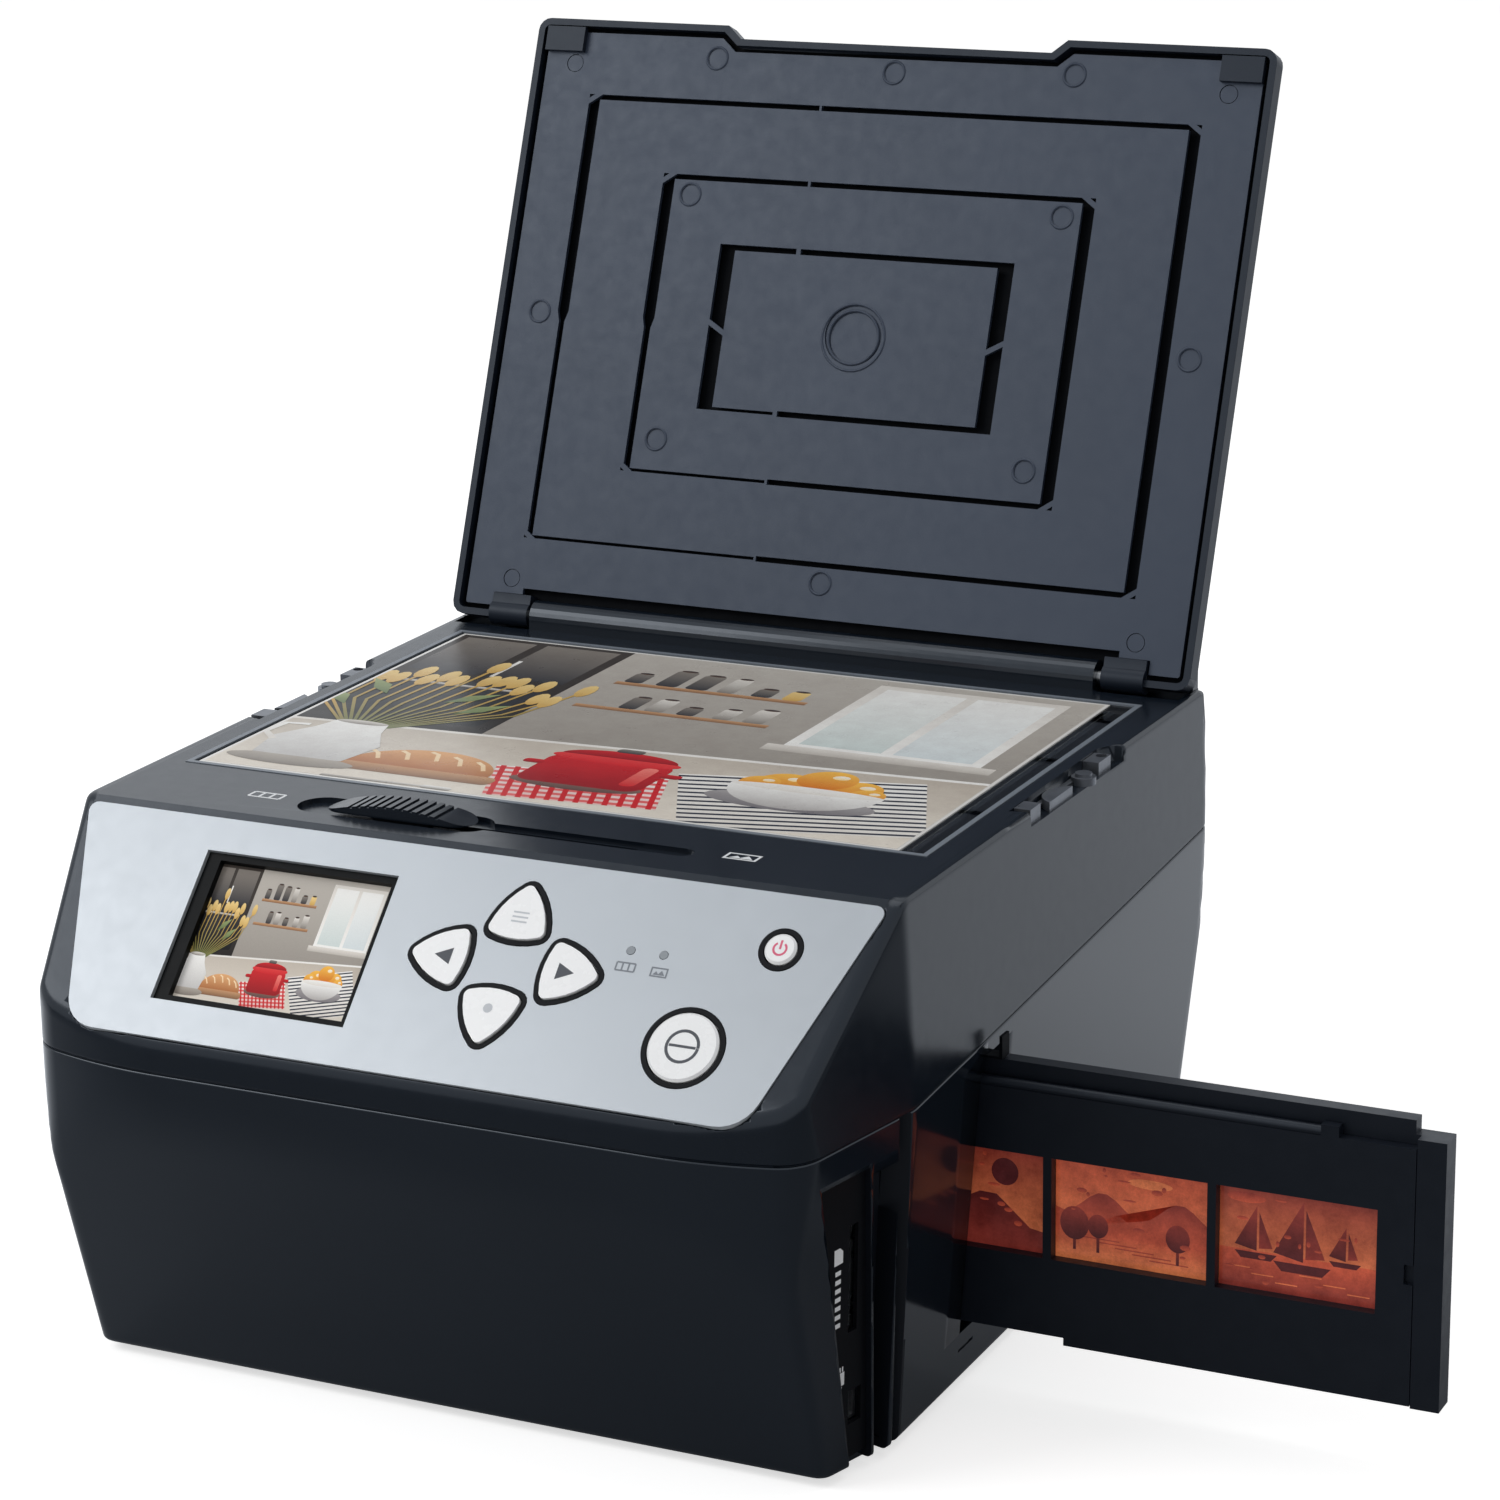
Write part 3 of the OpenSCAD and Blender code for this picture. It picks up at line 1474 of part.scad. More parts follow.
module holder_cover() {
    x0 = holder_x0 + end_grip + 0.2;
    x1 = holder_x1 - end_grip - 0.2;
    bar_z = holder_z1 - 4.9;
    color("#262a30") home() difference() {
        union() {
            box([x0, holder_y, holder_z + 0.4], [x1, film_y, bar_z - 0.6]);
            // hinge bar along the upper edge and its end knuckle
            rod_x(x0 + 16, x1 - 21, [holder_y + hinge_bar_r, bar_z], hinge_bar_r);
            box([x1 - 21, holder_y, bar_z - 1], [x1 - 17, film_y, bar_z + 1.9]);
        }
        holder_windows(0.8);
        // gap over the base's raised lower edge
        box([holder_mid - 42, holder_y - 1, holder_z - 1], [holder_mid + 42, holder_y + 10, holder_z + 2.2]);
        // finger notch of the catch
        box([x1 - 2, holder_y - 1, film_z - 4], [x1 + 1, holder_y + 1.2, film_z + 0.5]);
    }
}

module film_strip() {
    color("#c5562a") home()
        box([holder_x0 + end_grip + 4, film_y, film_z - film_h / 2],
            [holder_x1 - end_grip - 4, film_y + film_t, film_z + film_h / 2]);
}

upper_case();
lower_case();
feet();
case_screws();
control_panel();
key_surround();
screen_bezel();
screen_module();
key_board();
key_switches();
status_leds();
board_standoffs();
platen_glass();
platen_frame();
hinge_block();
hinge_screws();
hinge_pins();
edge_clips();
clip_screws();
socket_panel();
socket_board();
card_socket();
usb_socket();
main_board();
board_parts();
board_screws();
camera_bracket();
camera_board();
camera_barrel();
camera_lens();
guide_rods();
rod_brackets();
light_box();
light_board();
light_diffuser();
film_gate();
holder_guides();
holder_spring();
bracket_screws();
print_lamps();
screen_ribbon();
camera_ribbon();
photo_print();
selector_knob();
mirror_carriage();
folding_mirror();
lid_cover();
lid_inner();
lid_pads();
lid_screws();
holder_base();
holder_cover();
film_strip();
key_up();
key_down();
key_left();
key_right();
key_power();
key_start();
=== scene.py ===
import json
import math
import random

import bmesh
import bpy
import numpy as np
from mathutils import Matrix, Vector


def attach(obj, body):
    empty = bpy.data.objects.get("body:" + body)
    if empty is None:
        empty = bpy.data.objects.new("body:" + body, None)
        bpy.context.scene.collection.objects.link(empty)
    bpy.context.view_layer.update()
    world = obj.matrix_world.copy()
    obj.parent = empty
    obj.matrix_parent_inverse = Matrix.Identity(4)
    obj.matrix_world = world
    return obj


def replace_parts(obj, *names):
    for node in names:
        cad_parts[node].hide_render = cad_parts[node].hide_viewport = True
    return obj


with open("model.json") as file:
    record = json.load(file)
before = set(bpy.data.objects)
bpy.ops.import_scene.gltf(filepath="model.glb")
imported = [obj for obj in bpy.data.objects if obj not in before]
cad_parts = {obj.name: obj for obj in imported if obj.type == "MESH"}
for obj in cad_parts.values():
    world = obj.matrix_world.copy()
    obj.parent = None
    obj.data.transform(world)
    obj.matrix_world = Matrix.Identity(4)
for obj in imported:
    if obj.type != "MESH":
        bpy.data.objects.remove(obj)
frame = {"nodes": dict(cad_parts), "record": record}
NODES = frame["nodes"]
BODY = {n: b for b, ns in frame["record"]["behaviour"]["bodies"].items() for n in ns}
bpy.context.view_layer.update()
scene = bpy.context.scene
MM = 0.001

# ---- Values repeated from the CAD source, in millimetres and degrees ----
MID_Y = 78.0                            # where the shared frame has y = 0
FOOT = 2.0                              # height of the feet under the base
DECK_H, DECK_D, DECK_HALF = 127.5, 181.5, 101.7                     # deck: height, rear edge, half width
SEAM_H, SEAM_HALF, SEAM_BACK, SEAM_TILT = 81.6, 104.4, 185.0, 3.7   # parting line, which rises to the rear
NOSE_D, NOSE_Z, SLOPE_A, TAPER = 40.5, 86.5, 45.35, 16.0            # sloped front and tapered sides
BAND_Z, BASE_FRONT, BASE_BACK = 68.0, -20.5, 177.0                  # crease under the nose; base
BOW_X, BOW_R, NOSE_R, BACK_R = 60.0, 110.0, 11.0, 8.0               # bowed front and corners, in plan
HINGE_Y, HINGE_Z, LID_OPEN = 173.4, 130.0, 111.4                    # lid hinge; angle from closed, at rest
AXIS_X, FILM_Y, FILM_Z = -14.0, 40.6, 47.45                         # middle of the first film picture
FILM_T, PITCH, FRAMES = 0.2, 38.0, 6                                # film strip
PRINT_W, PRINT_H = 178, 127                                         # paper print
SIDE_DRAW = 6.7 / 79.6                  # how far the lower sides lean in, over their height
SIDE_FLARE = 2.7 / 45.9                 # the same for the upper sides
TILT_K = math.tan(math.radians(SEAM_TILT))
TAPER_A = math.radians(TAPER)
TAPER_COS = math.cos(TAPER_A)


# ---- Frames of the object's faces, from millimetres to the shared frame in metres ----
def turn(axis, deg):
    return Matrix.Rotation(math.radians(deg), 4, axis)


def shift(x, y, z):
    return Matrix.Translation((x, y, z))


HOME = Matrix.Scale(MM, 4) @ shift(0, -MID_Y, 0)
DECK = HOME @ shift(0, 0, DECK_H)
SLOPE = DECK @ turn("X", SLOPE_A)
BAY = (HOME @ shift(SEAM_HALF, 0, SEAM_H) @ turn("Z", -TAPER)
       @ turn("X", math.degrees(math.atan(TILT_K * TAPER_COS)))
       @ turn("Y", math.degrees(math.atan(SIDE_DRAW))) @ turn("Z", 90) @ turn("X", 90))
LID = HOME @ shift(0, HINGE_Y, HINGE_Z) @ turn("X", -LID_OPEN)
FILM = HOME @ shift(0, FILM_Y, FILM_Z) @ turn("X", 90)


# ---- Materials ----
def srgb(r, g, b):
    """A colour written as 0-255 screen values, as linear light."""
    def lin(c):
        c /= 255
        return c / 12.92 if c <= 0.04045 else ((c + 0.055) / 1.055) ** 2.4
    return (lin(r), lin(g), lin(b))


class Tree:
    """The node tree of a material or world, with short calls for the nodes used here."""

    def __init__(self, owner):
        owner.use_nodes = True
        self.nodes, self.links = owner.node_tree.nodes, owner.node_tree.links

    def put(self, socket, value):
        """Links another node's output to a socket, or sets its constant."""
        if isinstance(value, bpy.types.NodeSocket):
            self.links.new(value, socket)
        elif socket.type == "RGBA":
            socket.default_value = (*value, 1)
        else:
            socket.default_value = value

    def fill(self, node, values):
        for key, value in values.items():
            self.put(node.inputs[key], value)
        return node

    def add(self, kind, values=None):
        return self.fill(self.nodes.new("ShaderNode" + kind), values or {})

    def coord(self):
        return self.add("TexCoord").outputs["Object"]

    def noise(self, coord, scale, detail=2.0, rough=0.5):
        return self.add("TexNoise", {"Vector": coord, "Scale": scale, "Detail": detail,
                                     "Roughness": rough}).outputs["Fac"]

    def spread(self, source, lo, hi):
        """A noise's middle range, stretched to lo and hi."""
        return self.add("MapRange", {"Value": source, "From Min": 0.3, "From Max": 0.7,
                                     "To Min": lo, "To Max": hi}).outputs["Result"]

    def mix(self, fac, a, b, blend="MIX"):
        node = self.nodes.new("ShaderNodeMix")
        node.data_type = "RGBA"
        node.blend_type = blend
        return self.fill(node, {0: fac, 6: a, 7: b}).outputs[2]

    def maths(self, operation, *values):
        node = self.nodes.new("ShaderNodeMath")
        node.operation = operation
        return self.fill(node, dict(enumerate(values))).outputs[0]

    def bump(self, height, strength, depth):
        return self.add("Bump", {"Height": height, "Strength": strength, "Distance": depth}).outputs["Normal"]


def new_material(name):
    """A material, its tree and its surface node."""
    m = bpy.data.materials.new(name)
    t = Tree(m)
    return m, t, t.nodes["Principled BSDF"]


TONE_SCALE, GLOSS_SCALE = 30, 260       # noise per metre


def finish_material(name, colour, rough, grain=0.0004, depth=2e-5, strength=0.25, tone=0.06, rough_by=0.05,
                    metal=0.0, coat=0.0, coat_rough=0.1, level=0.5, stretch=None, sheen=(1, 1, 1)):
    """Surface with broad tone changes, uneven gloss and a fine moulded, painted or drawn grain."""
    m, t, surface = new_material(name)
    coord = fine = t.coord()
    if stretch:
        fine = t.add("Mapping", {"Vector": coord, "Scale": stretch}).outputs["Vector"]
    low = tuple(c * (1 - tone) for c in colour)
    high = tuple(min(1, c * (1 + tone)) for c in colour)
    t.fill(surface, {
        "Base Color": t.mix(t.spread(t.noise(coord, TONE_SCALE, 4), 0, 1), low, high),
        "Roughness": t.spread(t.noise(fine, GLOSS_SCALE, 5, 0.6), rough - rough_by, rough + rough_by),
        "Normal": t.bump(t.noise(fine, 1 / grain), strength, depth),
        "Metallic": metal, "Coat Weight": coat, "Coat Roughness": coat_rough,
        "Specular IOR Level": level, "Specular Tint": sheen})
    return m


def board_material():
    """Green solder resist over traces that show as paler lines."""
    m, t, surface = new_material("board")
    coord = t.coord()
    traces = t.add("TexBrick", {"Vector": coord, "Scale": 300, "Mortar Size": 0.03, "Color1": (0.01, 0.075, 0.035),
                                "Color2": (0.012, 0.095, 0.045), "Mortar": (0.04, 0.2, 0.1)})
    t.fill(surface, {
        "Base Color": traces.outputs["Color"],
        "Roughness": t.spread(t.noise(coord, 900, 3), 0.3, 0.42),
        "Normal": t.bump(traces.outputs["Fac"], 0.2, 4e-5)})
    return m


def glass_material():
    m, t, surface = new_material("glass")
    coord = t.coord()
    t.fill(surface, {
        "Base Color": t.mix(t.noise(coord, 40, 4), (0.82, 0.9, 0.88), (0.9, 0.95, 0.94)),
        "Roughness": t.spread(t.noise(coord, 70, 6, 0.7), 0.01, 0.06),
        "Normal": t.bump(t.noise(coord, 900), 0.04, 1e-5),
        "Transmission Weight": 1.0, "IOR": 1.5})
    return m


def printed_material(name, rough, grain, strength, coat=0.0, glow=0.0, level=0.5, mottle=0.0):
    """Ink: the colour comes from the sheet's own 'tone' values, under a fine grain and soft clouds."""
    m, t, surface = new_material(name)
    coord = t.coord()
    tone = t.nodes.new("ShaderNodeAttribute")
    tone.attribute_name = "tone"
    fine = t.noise(coord, 1 / grain)
    shown = t.mix(1.0, tone.outputs["Color"],
                  t.mix(t.spread(fine, 0, 1), (0.93, 0.93, 0.93), (1.0, 1.0, 1.0)), "MULTIPLY")
    if mottle:
        dull = (1 - mottle, 1 - mottle * 1.15, 1 - mottle * 1.1)
        clouds = t.mix(t.spread(t.noise(coord, 170, 8, 0.78), 0, 1), dull, (1.08, 1.1, 1.1))
        shown = t.mix(1.0, shown, clouds, "MULTIPLY")
    t.fill(surface, {
        "Base Color": shown, "Roughness": t.spread(t.noise(coord, 120, 4), rough - 0.04, rough + 0.04),
        "Normal": t.bump(fine, strength, 1e-5), "Coat Weight": coat, "Specular IOR Level": level})
    if glow:
        t.fill(surface, {"Emission Color": shown, "Emission Strength": glow})
    return m


COOL = (0.84, 0.91, 1)      # tint of the near-black plastic's reflections
LOOKS = {
    "case_plastic": dict(colour=srgb(17, 23, 31), rough=0.22, grain=0.0005, depth=1.2e-5, strength=0.2,
                         tone=0.05, rough_by=0.03, level=0.36, sheen=COOL),
    "case_dark": dict(colour=srgb(17, 23, 31), rough=0.13, grain=0.0006, depth=6e-6, strength=0.15,
                      rough_by=0.02, sheen=COOL),
    # painted shade: darker and duller than the case, for the finger groove beside the sockets and its bevel
    "case_painted_shade": dict(colour=srgb(14, 18, 25), rough=0.5, grain=0.0005, depth=1.2e-5, strength=0.2,
                       tone=0.08, rough_by=0.04, level=0.2),
    "lid_plastic": dict(colour=srgb(44, 52, 67), rough=0.42, grain=0.0005, depth=3e-5, strength=0.35,
                        tone=0.05, level=0.42, sheen=COOL),
    "rim_plastic": dict(colour=srgb(22, 28, 38), rough=0.4, grain=0.0005, strength=0.3, tone=0.05,
                        rough_by=0.02, level=0.26, sheen=COOL),
    # painted shadow: near-black, for the hollow behind the lid's slots; the holder's spring also takes it
    "shadow_plastic": dict(colour=srgb(5, 7, 11), rough=0.65, grain=0.0005, strength=0.3, tone=0.1, level=0.06),
    "silver_panel": dict(colour=srgb(171, 177, 183), rough=0.33, grain=0.00016, depth=1e-5, tone=0.02,
                         rough_by=0.04, metal=0.25, coat=0.25, coat_rough=0.2),
    "black_plastic": dict(colour=(0.004, 0.0045, 0.006), rough=0.45, tone=0.1, level=0.1),
    "black_gloss": dict(colour=(0.003, 0.0035, 0.004), rough=0.4, grain=0.0006, depth=8e-6, strength=0.1,
                        tone=0.15, rough_by=0.03, level=0.08),
    "white_plastic": dict(colour=(0.8, 0.8, 0.78), rough=0.5, grain=0.0005, tone=0.03),
    "key_white": dict(colour=(0.93, 0.94, 0.95), rough=0.27, grain=0.0007, depth=8e-6, strength=0.12,
                      tone=0.015, rough_by=0.03, coat=0.3, coat_rough=0.08),
    "clear_plastic": dict(colour=(0.3, 0.33, 0.36), rough=0.18, depth=8e-6, strength=0.2, tone=0.1, rough_by=0.03),
    "foot_rubber": dict(colour=(0.015, 0.015, 0.016), rough=0.8, grain=0.0006, depth=4e-5, strength=0.5,
                        tone=0.15),
    "steel": dict(colour=(0.56, 0.57, 0.58), rough=0.3, grain=0.0003, depth=8e-6, tone=0.05, rough_by=0.06,
                  metal=1.0, stretch=(0.15, 1, 1)),
    "dark_steel": dict(colour=(0.16, 0.17, 0.19), rough=0.34, grain=0.0003, depth=8e-6, strength=0.3,
                       tone=0.12, rough_by=0.08, metal=0.8),
    "ribbon": dict(colour=(0.45, 0.22, 0.05), rough=0.3, grain=0.001, depth=4e-5, strength=0.5, tone=0.12,
                   stretch=(1, 0.02, 0.02)),
    "screen_glass": dict(colour=(0.02, 0.024, 0.03), rough=0.08, grain=0.001, depth=4e-6, strength=0.1,
                         tone=0.2, rough_by=0.02),
    "mirror": dict(colour=(0.9, 0.91, 0.92), rough=0.04, grain=0.002, depth=3e-6, strength=0.05, tone=0.02,
                   rough_by=0.02, metal=1.0),
    "light_trim": dict(colour=srgb(112, 119, 128), rough=0.4, depth=1.5e-5, tone=0.04),
    "print_paper": dict(colour=(0.8, 0.79, 0.76), rough=0.22, grain=0.0008, depth=8e-6, strength=0.15,
                        tone=0.02, rough_by=0.03),
    "holder_plastic": dict(colour=srgb(13, 17, 25), rough=0.4, grain=0.00045, depth=3e-5, strength=0.4,
                           tone=0.1, level=0.34, sheen=(0.82, 0.9, 1)),
    "film": dict(colour=(0.6, 0.13, 0.03), rough=0.2, grain=0.0008, depth=8e-6, strength=0.15, tone=0.12,
                 rough_by=0.03, coat=0.4),
}
MATERIALS = {name: finish_material(name, **look) for name, look in LOOKS.items()}
MATERIALS["board"], MATERIALS["glass"] = board_material(), glass_material()
PRINT_INK = printed_material("print_ink", rough=0.3, grain=0.0005, strength=0.1, level=0.12, mottle=0.07)
SCREEN_INK = printed_material("screen_ink", rough=0.2, grain=0.0002, strength=0.1, glow=0.16, level=0.05)
# the film's ink glows: painted light that brightens the strip, which is no lamp
FILM_INK = printed_material("film_ink", rough=0.18, grain=0.0003, strength=0.12, coat=0.3, glow=0.24, mottle=0.5)
MARK_INK = printed_material("mark_ink", rough=0.5, grain=0.0003, strength=0.15)

# slots, which are also the names of their usual materials, and the nodes in each
SLOT_NODES = {
    "case_plastic": "upper_case lid_cover lid_inner selector_knob",
    "case_dark": "lower_case hinge_block",
    "silver_panel": "control_panel",
    "black_plastic": "key_switches board_parts camera_bracket camera_barrel film_gate holder_guides rod_brackets"
                     " mirror_carriage lid_screws key_surround socket_panel",
    "black_gloss": "screen_bezel",
    "white_plastic": "light_box light_board light_diffuser print_lamps",
    "key_white": "key_up key_down key_left key_right key_power key_start",
    "clear_plastic": "status_leds",
    "foot_rubber": "feet lid_pads",
    "steel": "case_screws board_standoffs hinge_screws hinge_pins edge_clips clip_screws card_socket usb_socket"
             " board_screws guide_rods holder_spring bracket_screws",
    "board": "key_board socket_board main_board camera_board",
    "ribbon": "screen_ribbon camera_ribbon",
    "glass": "platen_glass camera_lens",
    "screen_glass": "screen_module",
    "mirror": "folding_mirror",
    "light_trim": "platen_frame",
    "print_paper": "photo_print",
    "holder_plastic": "holder_base holder_cover",
    "film": "film_strip",
}
SLOT_OF = {n: s for s, names in SLOT_NODES.items() for n in names.split()}
# nodes that look unlike the rest of their slot
SPECIAL = {"lid_cover": "rim_plastic", "lid_pads": "rim_plastic", "lid_inner": "lid_plastic",
           "lid_screws": "lid_plastic", "edge_clips": "dark_steel", "clip_screws": "dark_steel",
           "holder_spring": "shadow_plastic"}


def material_of(node):
    return MATERIALS[SPECIAL.get(node, SLOT_OF[node])]


for node_name, node_obj in NODES.items():
    node_obj.data.materials.clear()
    node_obj.data.materials.append(material_of(node_name))


# ---- Mesh helpers ----
WELD = 2e-6                             # metres
FLAT, SHARP = math.radians(0.4), math.radians(24)       # turns taken as flat; edges that are rounded


def finished(bm, name, outward=True):
    """The mesh of a bmesh, with its faces turned outward unless told not to."""
    if outward:
        bmesh.ops.recalc_face_normals(bm, faces=bm.faces)
    mesh = bpy.data.meshes.new(name)
    bm.to_mesh(mesh)
    bm.free()
    return mesh


def linked(name, data):
    obj = bpy.data.objects.new(name, data)
    scene.collection.objects.link(obj)
    return obj


def add_piece(name, mesh, body, material):
    obj = linked(name, mesh)
    mesh.materials.append(material)
    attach(obj, body)
    return obj


def shade(mesh, crease):
    """Smooth shading, with creases only at edges sharper than this many degrees."""
    for f in mesh.polygons:
        f.use_smooth = True
    mesh.set_sharp_from_angle(angle=math.radians(crease))


def bridge(bm, rows):
    """Faces between closed rows of vertices."""
    n = len(rows[0])
    for a, b in zip(rows, rows[1:]):
        for i in range(n):
            j = (i + 1) % n
            bm.faces.new((a[i], a[j], b[j], b[i]))


def softened(node, width, shortest):
    """A copy of a CAD node with its outer edges rounded, down to the shortest; it stands for that node."""
    bm = bmesh.new()
    bm.from_mesh(NODES[node].data)
    bmesh.ops.remove_doubles(bm, verts=bm.verts, dist=WELD)
    bmesh.ops.dissolve_limit(bm, angle_limit=FLAT, verts=bm.verts, edges=bm.edges)
    chosen = [e for e in bm.edges if len(e.link_faces) == 2 and e.calc_length() > shortest * MM
              and e.calc_face_angle_signed(0.0) >= SHARP]
    bmesh.ops.bevel(bm, geom=chosen, offset=width * MM, offset_type="OFFSET", segments=3,
                    profile=0.5, affect="EDGES", clamp_overlap=True, miter_outer="ARC")
    bmesh.ops.remove_doubles(bm, verts=bm.verts, dist=WELD / 2)
    mesh = finished(bm, node + "_body", outward=False)
    shade(mesh, crease=40)
    obj = add_piece(node + "_body", mesh, BODY[node], material_of(node))
    flat = obj.modifiers.new("even_normals", "WEIGHTED_NORMAL")
    flat.keep_sharp = True
    flat.weight = 80
    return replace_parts(obj, node)


def box_mesh(name, lo, hi, place):
    bm = bmesh.new()
    v = [bm.verts.new(place @ Vector((x, y, z)))
         for z in (lo[2], hi[2]) for y in (lo[1], hi[1]) for x in (lo[0], hi[0])]
    for q in ((0, 2, 3, 1), (4, 5, 7, 6), (0, 1, 5, 4), (2, 6, 7, 3), (0, 4, 6, 2), (1, 3, 7, 5)):
        bm.faces.new([v[i] for i in q])
    return finished(bm, name)


def combined(base, others):
    """Result of boolean steps [(operation, mesh)] on a base mesh."""
    made = [linked("step", m) for m in [base] + [m for _, m in others]]
    for (operation, _), tool in zip(others, made[1:]):
        step = made[0].modifiers.new("step", "BOOLEAN")
        step.operation, step.object, step.solver = operation, tool, "EXACT"
    graph = bpy.context.evaluated_depsgraph_get()
    graph.update()
    out = bpy.data.meshes.new_from_object(made[0].evaluated_get(graph))
    for obj in made:
        bpy.data.objects.remove(obj)
    return out


def trimmed(obj, form):
    """Cuts a piece to a soft outer form and shades the result evenly."""
    obj.data = combined(obj.data, [("INTERSECT", form)])
    obj.data.name = obj.name
    shade(obj.data, crease=38)
    return obj


# ---- The case's outer form with soft transitions, as distances in millimetres (positive outside) ----
SKIN = 0.07                 # how far the form stays inside the CAD surface
SOFT_TAPER, SOFT_SLOPE, SOFT_DECK, SOFT_BAND, SOFT_BASE = 0.35, 2.2, 1.5, 2.6, 1.6
UPPER_LIP, UPPER_LIP_R = 0.46, 0.3      # lower edge of the upper half, above the seam
LOWER_LIP, LOWER_LIP_R = -0.03, 0.45    # upper edge of the lower half
NEAR, FAR = 10.0, 160.0     # where a wall is looked for, from the form's axis
REACH = 12.0                # where the deck or slope is looked for, above and below the crease


def nose_circle():
    """Centre of the nose's corner arc in plan and the angle where it leaves the bow."""
    m = math.tan(TAPER_A)
    a = SEAM_HALF - NOSE_R / TAPER_COS
    e, f, by = a - BOW_X, BOW_R - NOSE_R, BOW_R - NOSE_D
    k, q = m * m + 1, m * e - by
    y = (-q - math.sqrt(q * q - k * (e * e + by * by - f * f))) / k
    return a + m * y, y, math.atan2(y - by, a + m * y - BOW_X)


NOSE_X, NOSE_Y, NOSE_LEAN = nose_circle()


def soft_max(a, b, k):
    """The larger distance, with the edge between the two surfaces rounded over k."""
    h = np.maximum(k - np.abs(a - b), 0) / k
    return np.maximum(a, b) + h * h * k / 4


def line_side(u, v, p, q):
    """Distance from the line p-q in a side view, positive on its right."""
    du, dv = q[0] - p[0], q[1] - p[1]
    return ((u - p[0]) * dv - (v - p[1]) * du) / math.hypot(du, dv)


def seam_z(y):
    return SEAM_H + y * TILT_K


def side_wall(x, y, z, turned, upper):
    """Distance from the straight side (turned 0) or the tapered one, which lean to the seam's plane."""
    c, s = math.cos(math.radians(turned)), math.sin(math.radians(turned))
    px, pz = x - SEAM_HALF, z - SEAM_H
    lx, ly = c * px - s * y, s * px + c * y
    lean = math.atan(TILT_K * c)
    lz = -math.sin(lean) * ly + math.cos(lean) * pz
    k = -SIDE_FLARE if upper else SIDE_DRAW
    return (lx - k * lz) / math.sqrt(1 + k * k)


def walls(x, y, z, upper):
    """Front, sides and rear of one case half."""
    x = np.abs(x)
    front = np.hypot(np.maximum(x - BOW_X, 0), np.minimum(y - (BOW_R - NOSE_D), 0)) - BOW_R
    angle = np.arctan2(y - NOSE_Y, x - NOSE_X)
    nose = np.hypot(x - NOSE_X, y - NOSE_Y) - NOSE_R
    front = np.where((angle > NOSE_LEAN) & (angle < -TAPER_A), nose, front)
    cx, cy = SEAM_HALF - BACK_R, SEAM_BACK - BACK_R
    corner = np.where((x > cx) & (y > cy), np.hypot(x - cx, y - cy) - BACK_R, -99.0)
    sides = soft_max(side_wall(x, y, z, 0, upper), side_wall(x, y, z, TAPER, upper), SOFT_TAPER)
    low, high = (BASE_BACK, FOOT), (SEAM_BACK, seam_z(DECK_D))
    if upper:
        low, high = high, (DECK_D, DECK_H)
    return np.maximum(np.maximum(front, sides), np.maximum(corner, line_side(y, z, low, high)))


def wall_form(x, y, z, upper):
    """One case half with soft edges to its sloped front, deck and base."""
    d = walls(x, y, z, upper)
    if upper:
        d = soft_max(d, line_side(y, z, (0, DECK_H), (-NOSE_D, NOSE_Z)), SOFT_SLOPE)
        return soft_max(d, z - DECK_H, SOFT_DECK) + SKIN
    d = soft_max(d, line_side(y, z, (-NOSE_D, BAND_Z), (BASE_FRONT, FOOT)), SOFT_BAND)
    return soft_max(d, FOOT - z, SOFT_BASE) + SKIN


def plan_angles():
    """Directions from the form's axis that follow the outline: close together where it turns."""
    def steps(start, end, n):
        return [start + (end - start) * i / n for i in range(n)]

    def arc(cx, cy, r, angles):
        return [(cx + r * math.cos(a), cy + r * math.sin(a)) for a in angles]

    pts = [(x, -NOSE_D) for x in range(0, 60, 10)]
    pts += arc(BOW_X, BOW_R - NOSE_D, BOW_R, steps(-math.pi / 2, NOSE_LEAN, 20))
    pts += arc(NOSE_X, NOSE_Y, NOSE_R, steps(NOSE_LEAN, -TAPER_A, 15))
    x0, y0 = NOSE_X + NOSE_R * math.cos(-TAPER_A), NOSE_Y + NOSE_R * math.sin(-TAPER_A)
    pts += [(x0 + (SEAM_HALF - x0) * i / 34, y0 * (1 - i / 34)) for i in range(34)]
    pts += [(SEAM_HALF, y) for y in (0, 1, 2, 3, 4, 6, 8, 11, 15, *range(25, 161, 15), 170)]
    pts += arc(SEAM_HALF - BACK_R, SEAM_BACK - BACK_R, BACK_R, [math.radians(9 * i) for i in range(11)])
    pts += [(x, SEAM_BACK) for x in range(84, 0, -12)]
    right = [math.atan2(y - MID_Y, x) for x, y in pts]
    left = [math.pi - a for a in right[1:]][::-1]
    return np.array(right + [math.pi / 2] + left)


def halved(lo, hi, outside):
    """The place between lo and hi, for each column, where outside(place) turns true."""
    for _ in range(34):
        mid = (lo + hi) / 2
        out = outside(mid)
        hi, lo = np.where(out, mid, hi), np.where(out, lo, mid)
    return lo


def wall_row(height, inside, upper, form=wall_form):
    """Points around the wall at a height given as a function of y, a little inside it if asked."""
    angles = plan_angles()
    c, s = np.cos(angles), np.sin(angles)

    def outside(r):
        y = MID_Y + r * s
        return form(r * c, y, height(y), upper) > -inside

    r = halved(np.full(len(c), NEAR), np.full(len(c), FAR), outside)
    y = MID_Y + r * s
    return r * c, y, height(y)


def top_row(crease, inset):
    """Points on the deck and slope of the upper half, a distance in from its upper edge."""
    x, y, z = crease
    r = np.hypot(x, y - MID_Y)
    x, y = x * (1 - inset / r), MID_Y + (y - MID_Y) * (1 - inset / r)
    return x, y, halved(z - REACH, z + REACH, lambda h: wall_form(x, y, h, True) > 0)


def over_seam(h):
    return lambda y: seam_z(y) + h


def level_z(h):
    return lambda y: np.full_like(y, h)


